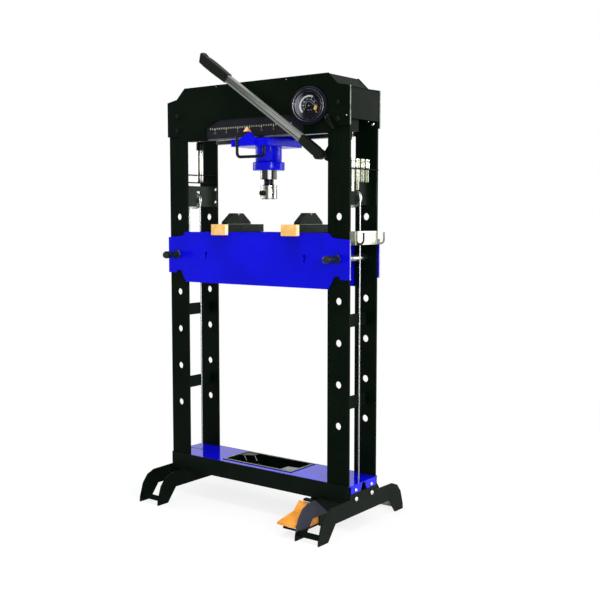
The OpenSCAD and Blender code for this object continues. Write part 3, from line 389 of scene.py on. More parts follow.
print_thick = 0.0004
scale_start = -134
small_ticks, small_pitch = 27, 7.5
number_pitch = 35
hub_height = 0.0064
marks = bmesh.new()
add_arc(marks, 0.0338, 0.0392, scale_start, 24, dial_place)
bmesh.ops.create_circle(marks, cap_ends=True, segments=24, radius=0.0018,
                        matrix=dial_place @ Matrix.Translation((0, 0, hub_height)))
add_bar(marks, (0.0026, 0.0052, print_thick), clock(131, 0.037, dial_place))
put("dial_arc", marks, dial_ink, "frame")
marks = bmesh.new()
for i in range(small_ticks):
    add_bar(marks, (0.0005, 0.0022, print_thick), clock(-130 + i * small_pitch, 0.0318, dial_place))
for i, angle in enumerate(range(-122, 90, number_pitch)):
    spot = Matrix.Translation(clock(angle, 0.0238, dial_place).translation) @ dial_place.to_3x3().to_4x4()
    add_numeral(marks, str(10 * i), 0.0052, spot)
    add_bar(marks, (0.001, 0.0034, print_thick), clock(angle, 0.0302, dial_place))
    add_bar(marks, (0.0007, 0.0042, print_thick), clock(angle + 17, 0.0215, dial_place))
add_arc(marks, 0.0148, 0.0155, scale_start, 84, dial_place)
for across_dial in (-0.0038, 0.0072):
    add_bar(marks, (0.0028, 0.002, print_thick), dial_place @ Matrix.Translation((across_dial, -0.0162, 0)))
put("dial_marks", marks, grey_ink, "frame")
marks = bmesh.new()
add_arc(marks, 0.0205, 0.0322, 94, 127, dial_place)
put("dial_amber", marks, amber_ink, "frame")
marks = bmesh.new()
add_arc(marks, 0.041, 0.0428, 96, 116, dial_place)
put("dial_red", marks, red_ink, "frame")


def painted_side_glints(name, stops):
    """Trim with painted highlights at its left and right, dull between."""
    finish, tree, shader = new_finish(name, 0.22, metallic=0.8)
    shade = tint(tree, across(tree, dial_right, dial_middle - 0.0615, dial_middle + 0.0615), stops)
    lay = tint(tree, grain(tree, 200.0), [(0.3, (0.8, 0.8, 0.8)), (0.7, (1.0, 1.0, 1.0))])
    paint(tree, shader, mixed(tree, 1.0, shade, lay, "MULTIPLY"))
    vary_roughness(tree, shader, grain(tree, 90.0), 0.18, 0.3)
    return finish


# The two trim rings get painted highlights at their left and right.
trim_glints = painted_side_glints("trim_glints", [
    (0.0, (0.46, 0.47, 0.5)), (0.14, (0.28, 0.28, 0.31)), (0.34, (0.03, 0.03, 0.04)),
    (0.72, (0.02, 0.02, 0.03)), (0.9, (0.14, 0.14, 0.17)), (1.0, (0.32, 0.32, 0.36))])
bead_radius = 0.0009
bead_angles = [radians(degrees) for degrees in range(0, 361, 45)]
trim = bmesh.new()
for radius, height in ((0.0605, 0.015), (0.052, 0.0142)):
    bead = [(radius + bead_radius * cos(a), height + bead_radius * sin(a)) for a in bead_angles]
    add_turned(trim, bead, dial_place, ring_steps)
put("gauge_trim", trim, trim_glints, "frame")
# The lining's inner wall has a painted reflection at its left.
lining_sheen = painted_side_glints("lining_sheen", [
    (0.08, (0.3, 0.3, 0.34)), (0.16, (0.12, 0.12, 0.15)), (0.3, (0.006, 0.006, 0.01)),
    (1.0, (0.004, 0.004, 0.008))])
lining = bmesh.new()
add_turned(lining, [(0.0507, 0.0005), (0.0507, 0.0095), (0.0503, 0.0095), (0.0503, 0.0005), (0.0507, 0.0005)],
           dial_place, ring_steps)
put("gauge_lining", lining, lining_sheen, "frame")


# Valve and pump: a turned valve stem with a moulded paddle on the head, and the pump
# block bolted inside the right column behind it.

dark_steel = bare_steel("dark_steel", (0.03, 0.03, 0.03), (0.075, 0.075, 0.07), (0.25, 0.4), (1, 1, 1))
dress(["release_valve"], dark_steel, fine_edge)
plastic_dark, plastic_light = (0.0014, 0.0026, 0.0014), (0.0034, 0.005, 0.0034)
gloss_plastic, tree, shader = new_finish("gloss_plastic", 0.14, specular=0.12)
mottle(tree, shader, grain(tree, 60.0), plastic_dark, plastic_light)
vary_roughness(tree, shader, grain(tree, 80.0), 0.1, 0.2)
dress(["release_paddle"], gloss_plastic, 0.0022)
dress(["pump_body"], black_coat, 0.0015)


# Lever: a forged and bent black socket on the pump's shaft, a box tube in hammered grey
# and a swelling rubber grip pushed over its end.

lever_joint = next(joint for joint in frame["joints"] if joint["name"] == "lever_swing")
lever_tilt = radians(34.5)
pivot = Vector(lever_joint["pos_m"])
along_lever = Vector((cos(lever_tilt), 0, -sin(lever_tilt)))
up_lever = Vector((sin(lever_tilt), 0, cos(lever_tilt)))
hammered_grey, tree, shader = new_finish("hammered_grey", 0.4, metallic=0.25)
start = along_lever.dot(pivot)
grip_end, socket_end = start - 0.521, start - 0.08
arm_tall = 0.03
bottom = up_lever.dot(pivot) + 0.004
reach = across(tree, along_lever, grip_end, socket_end)
height = across(tree, up_lever, bottom, bottom + arm_tall)
web = tint(tree, reach, [(0.0, (0.055, 0.065, 0.045)), (0.3, (0.1, 0.112, 0.09)), (0.62, (0.27, 0.285, 0.26)),
                         (1.0, (0.3, 0.31, 0.29))])
# The dark bands along the arm's grooves are painted shade, and the light band above the upper groove is a
# painted highlight.
groove_shade, crest_highlight, back = (0.02, 0.025, 0.018), (0.36, 0.37, 0.34), (0.16, 0.17, 0.15)
rim = tint(tree, height, [(0.0, (0.17, 0.18, 0.16)), (0.23, (0.2, 0.21, 0.19)), (0.25, (0.025, 0.03, 0.022)),
                          (0.37, groove_shade), (0.39, (0.4, 0.41, 0.38)), (0.81, (0.4, 0.41, 0.38)), (0.82, groove_shade),
                          (0.88, groove_shade), (0.9, crest_highlight), (0.965, crest_highlight), (0.975, back), (1.0, back)])
inner = tint(tree, height, [(0.385, (0.0, 0.0, 0.0)), (0.39, (1.0, 1.0, 1.0)), (0.805, (1.0, 1.0, 1.0)),
                            (0.81, (0.0, 0.0, 0.0))])
dimple = tint(tree, grain(tree, 420.0, 2.0), [(0.3, (0.62, 0.62, 0.62)), (0.7, (1.0, 1.0, 1.0))])
paint(tree, shader, mixed(tree, 1.0, mixed(tree, inner, rim, web), dimple, "MULTIPLY"))
vary_roughness(tree, shader, grain(tree, 120.0), 0.3, 0.5)
raise_grain(tree, shader, grain(tree, 420.0, 2.0), 0.0002)
dress(["lever_arm"], hammered_grey, sheet_edge)
socket_coat = powder_coat("socket_coat", (0.0016, 0.0042, 0.0018), (0.007, 0.0115, 0.0068), 0.12)
dress(["lever_socket"], socket_coat, 0.003)
rubber, tree, shader = new_finish("rubber", 0.4, specular=0.08)
mottle(tree, shader, grain(tree, 90.0), (0.002, 0.0036, 0.002), (0.0046, 0.0068, 0.0044))
vary_roughness(tree, shader, grain(tree, 50.0), 0.32, 0.5)
raise_grain(tree, shader, grain(tree, 1100.0, 3.0), 0.00012)
dress(["lever_grip"], rubber, 0.0015)


# Carriage: a blue-painted weldment that hangs over the rails on nylon shoes, with a bent
# round-bar handle, a five-sided bracket and an orange pointer on its front.

def blue_paint(name, specular, rough):
    finish, tree, shader = new_finish(name, rough[0], specular=specular)
    mottle(tree, shader, grain(tree, 3.2), (0.0016, 0.0017, 0.46), (0.0034, 0.0034, 0.66))
    vary_roughness(tree, shader, grain(tree, 25.0), *rough)
    raise_grain(tree, shader, grain(tree, 500.0, 2.0), 0.00003)
    return finish


blue_coat = blue_paint("blue_coat", 0.045, (0.14, 0.26))
dress(["carriage_plate", "pointer_bracket"], blue_coat, 0.0015)
nylon, tree, shader = new_finish("nylon", 0.5)
mottle(tree, shader, grain(tree, 80.0), (0.55, 0.52, 0.42), (0.68, 0.65, 0.54))
dress(["carriage_shoes"], nylon)
pointer_coat, tree, shader = new_finish("pointer_coat", 0.3, specular=0.3)
# The pointer's left facet is painted pale as lit and its right facet deeper orange as shaded: painted light and
# shade.
pale = tint(tree, grain(tree, 90.0), [(0.3, (0.84, 0.42, 0.12)), (0.7, (0.94, 0.56, 0.22))])
deep = tint(tree, grain(tree, 90.0), [(0.3, (0.62, 0.17, 0.03)), (0.7, (0.82, 0.29, 0.06))])
ridge_x = -0.003
paint(tree, shader, mixed(tree, across(tree, to_right, ridge_x - 0.001, ridge_x + 0.001), pale, deep))
dress(["pointer"], pointer_coat, 0.0005)
satin_plastic, tree, shader = new_finish("satin_plastic", 0.3, specular=0.09)
mottle(tree, shader, grain(tree, 60.0), plastic_dark, plastic_light)
raise_grain(tree, shader, grain(tree, 1500.0, 2.0), 0.00006)
dress(["carriage_handle"], satin_plastic)


# Cylinder and ram: a blue barrel with a thick gland collar, a chromed rod, a dark stub
# and a chromed tool holder with a moulded clamping screw.

barrel_coat = blue_paint("barrel_coat", 0.11, (0.1, 0.18))
dress(["cylinder_barrel", "cylinder_collar"], barrel_coat, 0.001)


def banded_chrome(name, radius, bands):
    """Polished steel with painted reflections: light and dark bands that run down its length."""
    finish, tree, shader = new_finish(name, 0.1, metallic=1.0)
    across_front = (0.798, 0.603, 0.0)
    band = tint(tree, across(tree, across_front, -radius, radius), bands)
    lay = grain(tree, 70.0, 1.0, (1, 1, 0.05))
    streak = tint(tree, lay, [(0.35, (0.82, 0.82, 0.82)), (0.65, (1.0, 1.0, 1.0))])
    paint(tree, shader, mixed(tree, 1.0, band, streak, "MULTIPLY"))
    vary_roughness(tree, shader, grain(tree, 90.0), 0.06, 0.14)
    raise_grain(tree, shader, grain(tree, 900.0, 2.0, (0.1, 0.1, 4.0)), 0.00002)
    return finish


# The band colours for the rod and the holder are painted reflections.
reflected_light, reflected_grey = (0.9, 0.91, 0.89), (0.34, 0.35, 0.34)
reflected_dark, reflected_olive = (0.045, 0.047, 0.045), (0.13, 0.14, 0.07)
band_radius = 0.034
rod_chrome = banded_chrome("rod_chrome", band_radius, [
    (0.0, reflected_grey), (0.09, reflected_grey), (0.13, reflected_dark), (0.43, reflected_dark), (0.48, reflected_light), (0.68, reflected_light),
    (0.74, reflected_grey), (0.87, reflected_dark), (0.93, reflected_dark), (1.0, reflected_grey)])
dress(["ram_rod"], rod_chrome, fine_edge)
holder_chrome = banded_chrome("holder_chrome", band_radius, [
    (0.0, reflected_grey), (0.12, reflected_light), (0.28, reflected_grey), (0.34, reflected_olive), (0.45, reflected_olive), (0.49, reflected_light),
    (0.7, reflected_light), (0.73, reflected_olive), (0.79, reflected_olive), (0.83, (0.6, 0.61, 0.57)), (0.92, reflected_grey), (1.0, reflected_dark)])
dress(["tool_holder"], holder_chrome, fine_edge)
stub_steel = bare_steel("stub_steel", (0.004, 0.004, 0.007), (0.016, 0.016, 0.022), (0.2, 0.34), (1, 1, 1))
dress(["ram_stub"], stub_steel, fine_edge)
dress(["holder_screw"], satin_plastic, 0.001)


# Bed: two deep side plates with pin tabs, joined by cross plates, in the same blue paint.
# Its ends hang on the lifting cables and its weight rests on two round pins.

bed_coat = blue_paint("bed_coat", 0.07, (0.14, 0.26))
# The bed's front plate has its right end painted pale, a painted highlight.
painted_end_highlight(bed_coat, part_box("bed_front_plate")[1].x, (0.14, 0.13, 0.42), (0.3, 0.29, 0.55))
dress(["bed_front_plate", "bed_rear_plate"], bed_coat, plate_edge, flat_plate=True)
dress(["bed_cross_plates"], blue_coat, plate_edge)
pin_steel = bare_steel("pin_steel", (0.12, 0.122, 0.12), (0.6, 0.61, 0.6), (0.18, 0.34), (30, 1, 30), 3.0)
dress(["pin_left", "pin_right"], pin_steel, sheet_edge)
pin_rubber, tree, shader = new_finish("pin_rubber", 0.2, specular=0.22)
mottle(tree, shader, grain(tree, 120.0), (0.004, 0.0066, 0.006), (0.013, 0.0185, 0.0175))
vary_roughness(tree, shader, grain(tree, 60.0), 0.14, 0.26)
raise_grain(tree, shader, grain(tree, 500.0, 3.0), 0.0001)
dress(["pin_grip_left", "pin_grip_right"], pin_rubber)


# Support blocks: black cast bars with notched uprights, welded on with thin beads, that lie
# across the bed. Each has an amber moulded cap that hooks over the bed's front plate.

def cast_black(name, shift, top):
    """Painted casting whose V notch, at the upright's middle, is worn bright."""
    finish, tree, shader = new_finish(name, 0.5, specular=0.06)
    coat = tint(tree, grain(tree, 35.0), [(0.35, (0.0056, 0.0094, 0.0056)), (0.65, (0.0118, 0.018, 0.0114))])
    colour = tint(tree, grain(tree, 80.0), [(0.3, (0.4, 0.41, 0.39)), (0.7, (0.6, 0.61, 0.58))])
    notch_deep = 0.008
    for side in (-1, 1):
        slope = Vector((0, side, -1)).normalized()
        on_notch = slope.dot((0, shift, top - notch_deep)) + 0.001
        colour = mixed(tree, across(tree, slope, on_notch - 0.0004, on_notch), colour, coat)
    paint(tree, shader, colour)
    vary_roughness(tree, shader, grain(tree, 90.0), 0.42, 0.6)
    raise_grain(tree, shader, grain(tree, 350.0, 4.0), 0.0002)
    return finish


upright_shift = {"block_left": -0.008, "block_right": 0.008}
for block, shift in upright_shift.items():
    dress([block], cast_black(block + "_paint", shift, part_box(block)[1].z), 0.0009)
amber, tree, shader = new_finish("amber", 0.35)
body = tint(tree, grain(tree, 30.0), [(0.35, (0.8, 0.42, 0.1)), (0.65, (0.94, 0.55, 0.18))])
# Each cap's right end is painted pale, a painted highlight on the amber.
pale = tint(tree, grain(tree, 30.0), [(0.35, (0.94, 0.72, 0.36)), (0.65, (0.96, 0.8, 0.5))])
cap_past_block = 0.0055
cap_colours = []
for block in upright_shift:
    cap_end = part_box(block)[1].x + cap_past_block
    cap_colours.append(mixed(tree, across(tree, to_right, cap_end - 0.0016, cap_end - 0.0004), body, pale))
paint(tree, shader, mixed(tree, across(tree, to_right, -0.001, 0.001), *cap_colours))
vary_roughness(tree, shader, grain(tree, 60.0), 0.3, 0.45)
raise_grain(tree, shader, grain(tree, 600.0, 2.0), 0.00008)
dress(["block_caps"], amber, 0.002)


def add_plate(bm, outline, thick, place, ease=0.0):
    """A plate cut to an outline in the place's own x and y, with its edges eased."""
    old = set(bm.verts)
    face = bm.faces.new([bm.verts.new((x, y, 0)) for x, y in outline])
    raised = bmesh.ops.extrude_face_region(bm, geom=[face])
    upper = [v for v in raised["geom"] if isinstance(v, bmesh.types.BMVert)]
    bmesh.ops.translate(bm, vec=(0, 0, thick), verts=upper)
    new = [v for v in bm.verts if v not in old]
    bmesh.ops.recalc_face_normals(bm, faces=list({f for v in new for f in v.link_faces}))
    if ease:
        edges = list({e for v in new for e in v.link_edges})
        bmesh.ops.bevel(bm, geom=edges, offset=ease, offset_type="OFFSET", segments=2, profile=0.5,
                        affect="EDGES", material=-1)
        new = [v for v in bm.verts if v not in old]
    bmesh.ops.transform(bm, matrix=place, verts=new)


bead_steel = bare_steel("bead_steel", (0.012, 0.016, 0.011), (0.12, 0.13, 0.1), (0.3, 0.5), (1, 1, 1), 300.0)
beads = bmesh.new()
bead_long = 0.15
upright_half = 0.014
bar_tall = 0.032
for block, shift in upright_shift.items():
    low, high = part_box(block)
    middle = (low.x + high.x) / 2
    for side in (-1, 1):
        corner = [(0, 0), (side * 0.0032, 0), (side * 0.0028, 0.0014), (side * 0.0014, 0.0028), (0, 0.0032)]
        place = Matrix.Translation((middle + side * upright_half, shift + bead_long / 2, low.z + bar_tall))
        add_plate(beads, corner, bead_long, place @ facing_front)
put("block_beads", beads, bead_steel, "frame")


# Hangers: folded black racks for the mandrels and the spare lever tube, and a zinc
# plated hook bracket on the right column's outer edges.

def turned_bright(name, streak, dark, light, rough):
    """Bright turned steel with long dark and light streaks along its length."""
    finish, tree, shader = new_finish(name, rough[0], metallic=1.0)
    mottle(tree, shader, grain(tree, streak, 1.0, (1, 1, 0.03)), dark, light, 0.42, 0.6)
    vary_roughness(tree, shader, grain(tree, 90.0), *rough)
    raise_grain(tree, shader, grain(tree, 900.0, 2.0, (0.1, 0.1, 4.0)), 0.00002)
    return finish


dress(["mandrel_rack", "tube_rack"], black_coat, sheet_edge)
mandrel_steel = turned_bright("mandrel_steel", 95.0, (0.22, 0.235, 0.16), (0.72, 0.74, 0.66), (0.2, 0.3))
dress(["mandrels"], mandrel_steel, fine_edge)
tube_steel = turned_bright("tube_steel", 60.0, (0.26, 0.275, 0.2), (0.78, 0.79, 0.7), (0.24, 0.36))
dress(["stowed_tube"], tube_steel, fine_edge)
dress(["tube_cap"], rubber)
zinc, tree, shader = new_finish("zinc", 0.4, metallic=0.6)
pale_zinc, zinc_in_shade, zinc_in_shadow = (0.56, 0.58, 0.48), (0.26, 0.27, 0.18), (0.045, 0.05, 0.024)
# The strap's front end is painted dark as shadow and the hooks darker as shade, over the pale zinc.
depth = across(tree, to_rear, -0.1, 0.1)
strap = tint(tree, depth, [(0.16, zinc_in_shadow), (0.18, pale_zinc), (1.0, pale_zinc)])
hooks = tint(tree, depth, [(0.4, zinc_in_shadow), (0.6, zinc_in_shade)])
cloudy = tint(tree, grain(tree, 22.0), [(0.35, (0.78, 0.78, 0.76)), (0.62, (1.0, 1.0, 1.0))])
hook_face_x = 0.4695
plating = mixed(tree, across(tree, to_right, hook_face_x - 0.0007, hook_face_x + 0.0007), strap, hooks)
paint(tree, shader, mixed(tree, 1.0, plating, cloudy, "MULTIPLY"))
vary_roughness(tree, shader, grain(tree, 50.0), 0.3, 0.5)
dress(["hook_bracket"], zinc, sheet_edge)


# Lift: folded and bolted brackets carry turned sheaves, and stranded steel cables run from
# under the deck over each sheave to the bed.

bracket_coat, tree, shader = new_finish("bracket_coat", 0.42, specular=0.03)
# The left bracket is painted lighter than the right one, as lit: painted light on one black coat.
lay = grain(tree, 7.0)
left = tint(tree, lay, [(0.35, (0.018, 0.0245, 0.018)), (0.65, (0.026, 0.034, 0.025))])
right = tint(tree, lay, [(0.35, coat_dark), (0.65, coat_light)])
paint(tree, shader, mixed(tree, across(tree, to_right, -0.01, 0.01), left, right))
raise_grain(tree, shader, grain(tree, 1200.0, 2.0), 0.00005)
dress(["sheave_brackets"], bracket_coat, sheet_edge)
bolt_radius = 0.0088
bolts = bmesh.new()
for place in ((-0.373, 0.0845, 1.271), (-0.373, 0.0845, 1.325)):
    add_button(bolts, bolt_radius, Matrix.Translation(place) @ facing_front)
put("bracket_bolts", bolts, zinc_screw, "frame")
sheave_steel = bare_steel("sheave_steel", (0.3, 0.31, 0.3), (0.84, 0.85, 0.84), (0.2, 0.36), (1, 1, 1), 60.0)
dress(["sheave_left", "sheave_right"], sheave_steel, 0.0005)
strand, tree, shader = new_finish("strand", 0.32, metallic=1.0)
place = tree.nodes.new("ShaderNodeTexCoord")
twist = tree.nodes.new("ShaderNodeTexWave")
twist.wave_type = "BANDS"
twist.bands_direction = "DIAGONAL"
twist.inputs["Scale"].default_value = 260.0
tree.links.new(place.outputs["Object"], twist.inputs["Vector"])
mottle(tree, shader, twist.outputs["Fac"], (0.3, 0.3, 0.31), (0.5, 0.51, 0.52), 0.2, 0.8)
raise_grain(tree, shader, twist.outputs["Fac"], 0.0002, 0.3)
dress(["lifting_cables"], strand)


# Base: black side plates, a blue deck sheet folded down at its ends, a black tool tray with
# sheet ledges inside, and two arched black feet held by capped bolts on rubber washers.

# The side plates take the lighter copy of the black coat, painted light.
dress(["base_side_plates"], lit_black_coat, 0.001)
tray_coat = powder_coat("tray_coat", coat_dark, coat_light, coat_gloss)
tree = tray_coat.node_tree
tray_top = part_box("tool_tray")[1].z
# The tray's top edges are painted light grey, a painted highlight.
rim_highlight = tint(tree, grain(tree, 60.0), [(0.3, (0.1, 0.105, 0.1)), (0.7, (0.28, 0.29, 0.27))])
lay_over(tray_coat, across(tree, upward, tray_top - 0.0006, tray_top - 0.0003), rim_highlight)
dress(["tool_tray"], tray_coat, 0.001)
deck_coat = blue_paint("deck_coat", 0.24, (0.07, 0.13))
dress(["base_deck"], deck_coat, fine_edge)
foot_coat, tree, shader = new_finish("foot_coat", 0.42, specular=0.03)
lay = grain(tree, 7.0)
black = tint(tree, lay, [(0.35, coat_dark), (0.65, coat_light)])
# The inner plate's face below the arch line is painted slate grey, a painted reflection on the black plate.
inner_plate_sheen = tint(tree, lay, [(0.35, (0.034, 0.036, 0.05)), (0.65, (0.05, 0.052, 0.07))])
arch_slope = (0, 0.6275, 0.7785)
inner_plate_sheen = mixed(tree, across(tree, arch_slope, -0.0115, -0.0105), inner_plate_sheen, black)
inner_plate_sheen = mixed(tree, across(tree, upward, 0.03, 0.037), black, inner_plate_sheen)
# The foot's rear part is painted light grey, a painted glint.
rear_glint = tint(tree, grain(tree, 30.0), [(0.35, (0.2, 0.21, 0.19)), (0.65, (0.42, 0.43, 0.4))])
inside = mixed(tree, across(tree, to_rear, 0.268, 0.27), black, rear_glint)
inner_face_x, outer_face_x, soft = 0.3654, 0.4646, 0.0002
plates = mixed(tree, across(tree, to_right, inner_face_x - soft, inner_face_x + soft), inner_plate_sheen, inside)
# The outer plate's outer face is painted a little lighter than the coat, as lit from the right.
outer = tint(tree, lay, [(0.35, (0.0045, 0.0076, 0.0048)), (0.65, (0.0074, 0.011, 0.0077))])
outside = across(tree, to_right, outer_face_x - soft, outer_face_x + soft)
paint(tree, shader, mixed(tree, outside, plates, outer))
vary_roughness(tree, shader, grain(tree, 40.0), 0.34, 0.48)
raise_grain(tree, shader, grain(tree, 1200.0, 2.0), 0.00005)
dress(["foot_left"], black_coat, plate_edge)
dress(["foot_right"], foot_coat, plate_edge)
caps, washers = bmesh.new(), bmesh.new()
foot_face_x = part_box("foot_right")[1].x
washer_thick = 0.0016
cap_radius = 0.0092
bolt_z = 0.123
for side in (-1, 1):
    facing_side = Matrix.Rotation(side * radians(90), 4, "Y")
    for y in (-0.055, 0.055):
        place = Matrix.Translation((side * foot_face_x, y, bolt_z)) @ facing_side
        add_turned(washers, [(0, washer_thick), (0.0118, washer_thick), (0.0128, washer_thick / 2), (0.0128, 0),
                             (0, 0)], place)
        add_button(caps, cap_radius, place @ Matrix.Translation((0, 0, washer_thick)))
put("foot_washers", washers, rubber, "frame")
put("foot_bolt_caps", caps, bolt_plating, "frame")


def on_face(origin, along, towards):
    """A place whose x runs along one edge and whose y lies in the same face."""
    x = along.normalized()
    z = x.cross(towards).normalized()
    place = Matrix((x, z.cross(x), z)).transposed().to_4x4()
    place.translation = origin
    return place


ledge_steel, tree, shader = new_finish("ledge_steel", 0.4, metallic=0.3, specular=0.1)
# The left ledge is painted dull as shade and the right one pale as lit: painted shade and light on one sheet.
lay = grain(tree, 60.0)
dull = tint(tree, lay, [(0.3, (0.026, 0.029, 0.027)), (0.7, (0.05, 0.054, 0.05))])
pale = tint(tree, lay, [(0.3, (0.1, 0.105, 0.1)), (0.7, (0.3, 0.31, 0.29))])
paint(tree, shader, mixed(tree, across(tree, to_right, -0.01, 0.01), dull, pale))
vary_roughness(tree, shader, lay, 0.3, 0.5)
ledge_z = tray_top - 0.0045
sheet_thick = 0.002
sheet_ease = 0.0004
ledge_edge = [(-0.17, 0.035), (-0.128, 0.0587)]
ledges = bmesh.new()
for outline in ([(-0.1878, 0.028), *ledge_edge, (-0.128, 0.0848), (-0.1878, 0.0848)],
                [(0.1, -0.0608), (0.1578, -0.0608), (0.1578, 0.005), (0.1, -0.004)]):
    add_plate(ledges, outline, sheet_thick, Matrix.Translation((0, 0, ledge_z)), sheet_ease)
put("tray_ledges", ledges, ledge_steel, "frame")
strip_steel = bare_steel("strip_steel", (0.14, 0.145, 0.13), (0.34, 0.35, 0.32), (0.3, 0.45), (1, 1, 1), 120.0)
strips = bmesh.new()
first, last = (Vector((x, y, ledge_z)) for x, y in ledge_edge)
lean = Vector((0.026, -0.0055, -0.03))
wide = (last - first).normalized() * 0.0028
for a, b in ((first, first + wide), (last - wide, last)):
    place = on_face(a, wide, lean)
    outline = [(place.inverted() @ corner).to_2d() for corner in (a, b, b + lean, a + lean)]
    add_plate(strips, outline, sheet_thick, place, sheet_ease)
put("tray_strips", strips, strip_steel, "frame")


# Pedal: an orange folded tread on a pin, beside the foot pump that it works. A rubber strip edges its skirt,
# and a bumper and a thin dark sheet that darkens the gap behind the skirt are fixed to the foot's inner plate.

dress(["foot_pump"], black_coat, 0.0015)
orange_coat, tree, shader = new_finish("orange_coat", 0.35, specular=0.2)
mottle(tree, shader, grain(tree, 14.0), (0.74, 0.26, 0.018), (0.88, 0.36, 0.035))
vary_roughness(tree, shader, grain(tree, 45.0), 0.28, 0.45)
raise_grain(tree, shader, grain(tree, 700.0, 2.0), 0.00005)
dress(["pedal"], orange_coat, sheet_edge)
skirt_z = 0.019
strip = bmesh.new()
add_plate(strip, [(0.2685, -0.137), (0.2685, -0.2525), (0.3555, -0.2525), (0.3555, -0.137), (0.35, -0.137),
                  (0.35, -0.247), (0.274, -0.247), (0.274, -0.137)], 0.0075,
          Matrix.Translation((0, 0, skirt_z)), 0.001)
put("pedal_strip", strip, rubber, "treadle")
stops = bmesh.new()
along_foot = Matrix(((0, 0, 1, 0), (1, 0, 0, 0), (0, 1, 0, 0), (0, 0, 0, 1)))
end_radius, half_long = 0.0052, 0.006
end_angles = [radians(degrees) for degrees in range(-90, 91, 30)]
round_end = [(half_long + end_radius * cos(a), end_radius * sin(a)) for a in end_angles]
bumper = round_end + [(-x, -y) for x, y in round_end]
add_plate(stops, bumper, 0.061, Matrix.Translation((0.298, -0.1525, 0.1145)) @ along_foot, 0.0015)
# A thin dark rubber sheet on the inner plate darkens the gap behind the pedal's skirt.
link = [(-0.14, 0.064), (-0.14, 0.016), (-0.124, 0.011), (-0.098, 0.03), (-0.092, 0.064)]
add_plate(stops, link, 0.0028, Matrix.Translation((0.3562, 0, 0)) @ along_foot, 0.0005)
put("pedal_stops", stops, rubber, "frame")


# Floor, light and camera: a pale studio sweep, soft lamps, a strip that only lends sheen and
# the view of the photograph.

def seen_by_eye(tree):
    path = tree.nodes.new("ShaderNodeLightPath")
    total = path.outputs["Is Camera Ray"]
    for kind in ("Is Glossy Ray", "Is Transmission Ray"):
        both = tree.nodes.new("ShaderNodeMath")
        both.operation = "MAXIMUM"
        tree.links.new(total, both.inputs[0])
        tree.links.new(path.outputs[kind], both.inputs[1])
        total = both.outputs["Value"]
    return total


floor_size = 40.0
floor_bm = bmesh.new()
bmesh.ops.create_grid(floor_bm, x_segments=1, y_segments=1, size=floor_size / 2)
floor_mesh = bpy.data.meshes.new("floor")
floor_bm.to_mesh(floor_mesh)
floor_bm.free()
floor = bpy.data.objects.new("floor", floor_mesh)
bpy.context.scene.collection.objects.link(floor)
paper = bpy.data.materials.new("paper")
paper.use_nodes = True
tree = paper.node_tree
tree.nodes.clear()
sheet = tree.nodes.new("ShaderNodeBsdfDiffuse")
sheet.inputs["Color"].default_value = (0.86, 0.86, 0.86, 1.0)
glow = tree.nodes.new("ShaderNodeEmission")
glow.inputs["Strength"].default_value = 1.0
blend = tree.nodes.new("ShaderNodeMixShader")
spot = tree.nodes.new("ShaderNodeTexCoord")
reach = tree.nodes.new("ShaderNodeVectorMath")
reach.operation = "LENGTH"
fade = tree.nodes.new("ShaderNodeMapRange")
fade.interpolation_type = "SMOOTHSTEP"
fade.inputs["From Min"].default_value = 0.9
fade.inputs["From Max"].default_value = 3.2
fade.inputs["To Min"].default_value = 0.8
fade.inputs["To Max"].default_value = 1.0
share = tree.nodes.new("ShaderNodeMath")
share.operation = "MULTIPLY"
tree.links.new(spot.outputs["Object"], reach.inputs[0])
tree.links.new(reach.outputs["Value"], fade.inputs["Value"])
tree.links.new(seen_by_eye(tree), share.inputs[0])
tree.links.new(fade.outputs["Result"], share.inputs[1])
tree.links.new(share.outputs["Value"], blend.inputs["Fac"])
tree.links.new(sheet.outputs["BSDF"], blend.inputs[1])
tree.links.new(glow.outputs["Emission"], blend.inputs[2])
out = tree.nodes.new("ShaderNodeOutputMaterial")
tree.links.new(blend.outputs["Shader"], out.inputs["Surface"])
floor_mesh.materials.append(paper)

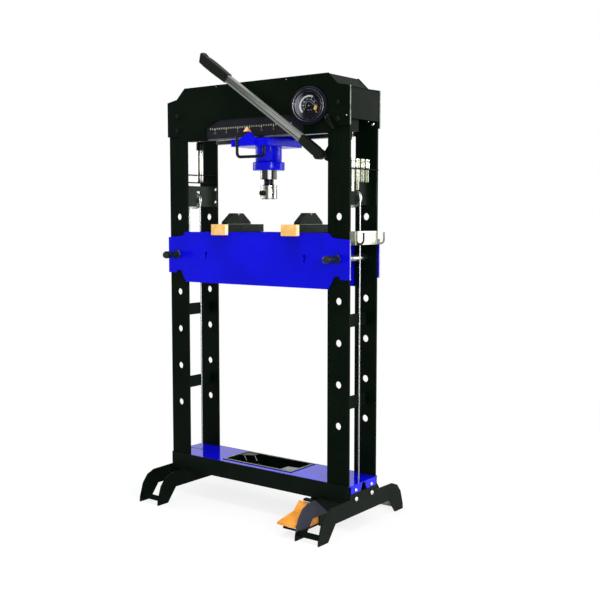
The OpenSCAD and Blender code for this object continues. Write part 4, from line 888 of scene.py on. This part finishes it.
world = bpy.data.worlds.new("studio")
bpy.context.scene.world = world
world.use_nodes = True
tree = world.node_tree
tree.nodes.clear()
soft = tree.nodes.new("ShaderNodeBackground")
soft.inputs["Color"].default_value = (0.95, 0.97, 1.0, 1.0)
soft.inputs["Strength"].default_value = 0.5
white = tree.nodes.new("ShaderNodeBackground")
white.inputs["Strength"].default_value = 1.0
white.inputs["Color"].default_value = (1.0, 1.0, 1.0, 1.0)
blend = tree.nodes.new("ShaderNodeMixShader")
tree.links.new(seen_by_eye(tree), blend.inputs["Fac"])
tree.links.new(soft.outputs["Background"], blend.inputs[1])
tree.links.new(white.outputs["Background"], blend.inputs[2])
out = tree.nodes.new("ShaderNodeOutputWorld")
tree.links.new(blend.outputs["Shader"], out.inputs["Surface"])


def soft_lamp(name, place, aim, width, height, power):
    lamp = bpy.data.lights.new(name, "AREA")
    lamp.shape = "RECTANGLE"
    lamp.size = width
    lamp.size_y = height
    lamp.energy = power
    holder = bpy.data.objects.new(name, lamp)
    holder.location = place
    holder.rotation_euler = (Vector(aim) - Vector(place)).to_track_quat("-Z", "Y").to_euler()
    bpy.context.scene.collection.objects.link(holder)
    return holder


sheen = soft_lamp("sheen_strip", (3.5, -2.19, 1.5), (0.0, 0.0, 1.4), 0.35, 1.9, 60.0)
sheen.visible_diffuse = False
soft_lamp("front_box", (3.4, -2.15, 1.9), (0.0, 0.0, 1.2), 1.3, 2.0, 90.0)
soft_lamp("left_box", (-3.9, -0.3, 1.9), (0.0, 0.0, 1.1), 1.5, 2.4, 60.0)
soft_lamp("right_strip", (3.8, -0.2, 1.9), (0.0, 0.0, 1.4), 0.25, 2.2, 18.0)
soft_lamp("rear_right_box", (2.5, 3.1, 1.7), (0.0, 0.0, 0.9), 1.8, 2.2, 58.0)
soft_lamp("top_box", (0.3, -0.4, 4.2), (0.0, 0.0, 1.0), 2.4, 2.4, 110.0)

camera = bpy.data.cameras.new("camera")
camera.sensor_width = 36.0
camera.lens = 57.163
eye = bpy.data.objects.new("camera", camera)
eye.location = (2.4643, -3.0496, 1.1981)
eye.rotation_euler = (radians(90 - 4.8775), 0.0, radians(37.078))
bpy.context.scene.collection.objects.link(eye)
bpy.context.scene.camera = eye
bpy.context.scene.view_settings.view_transform = "Standard"
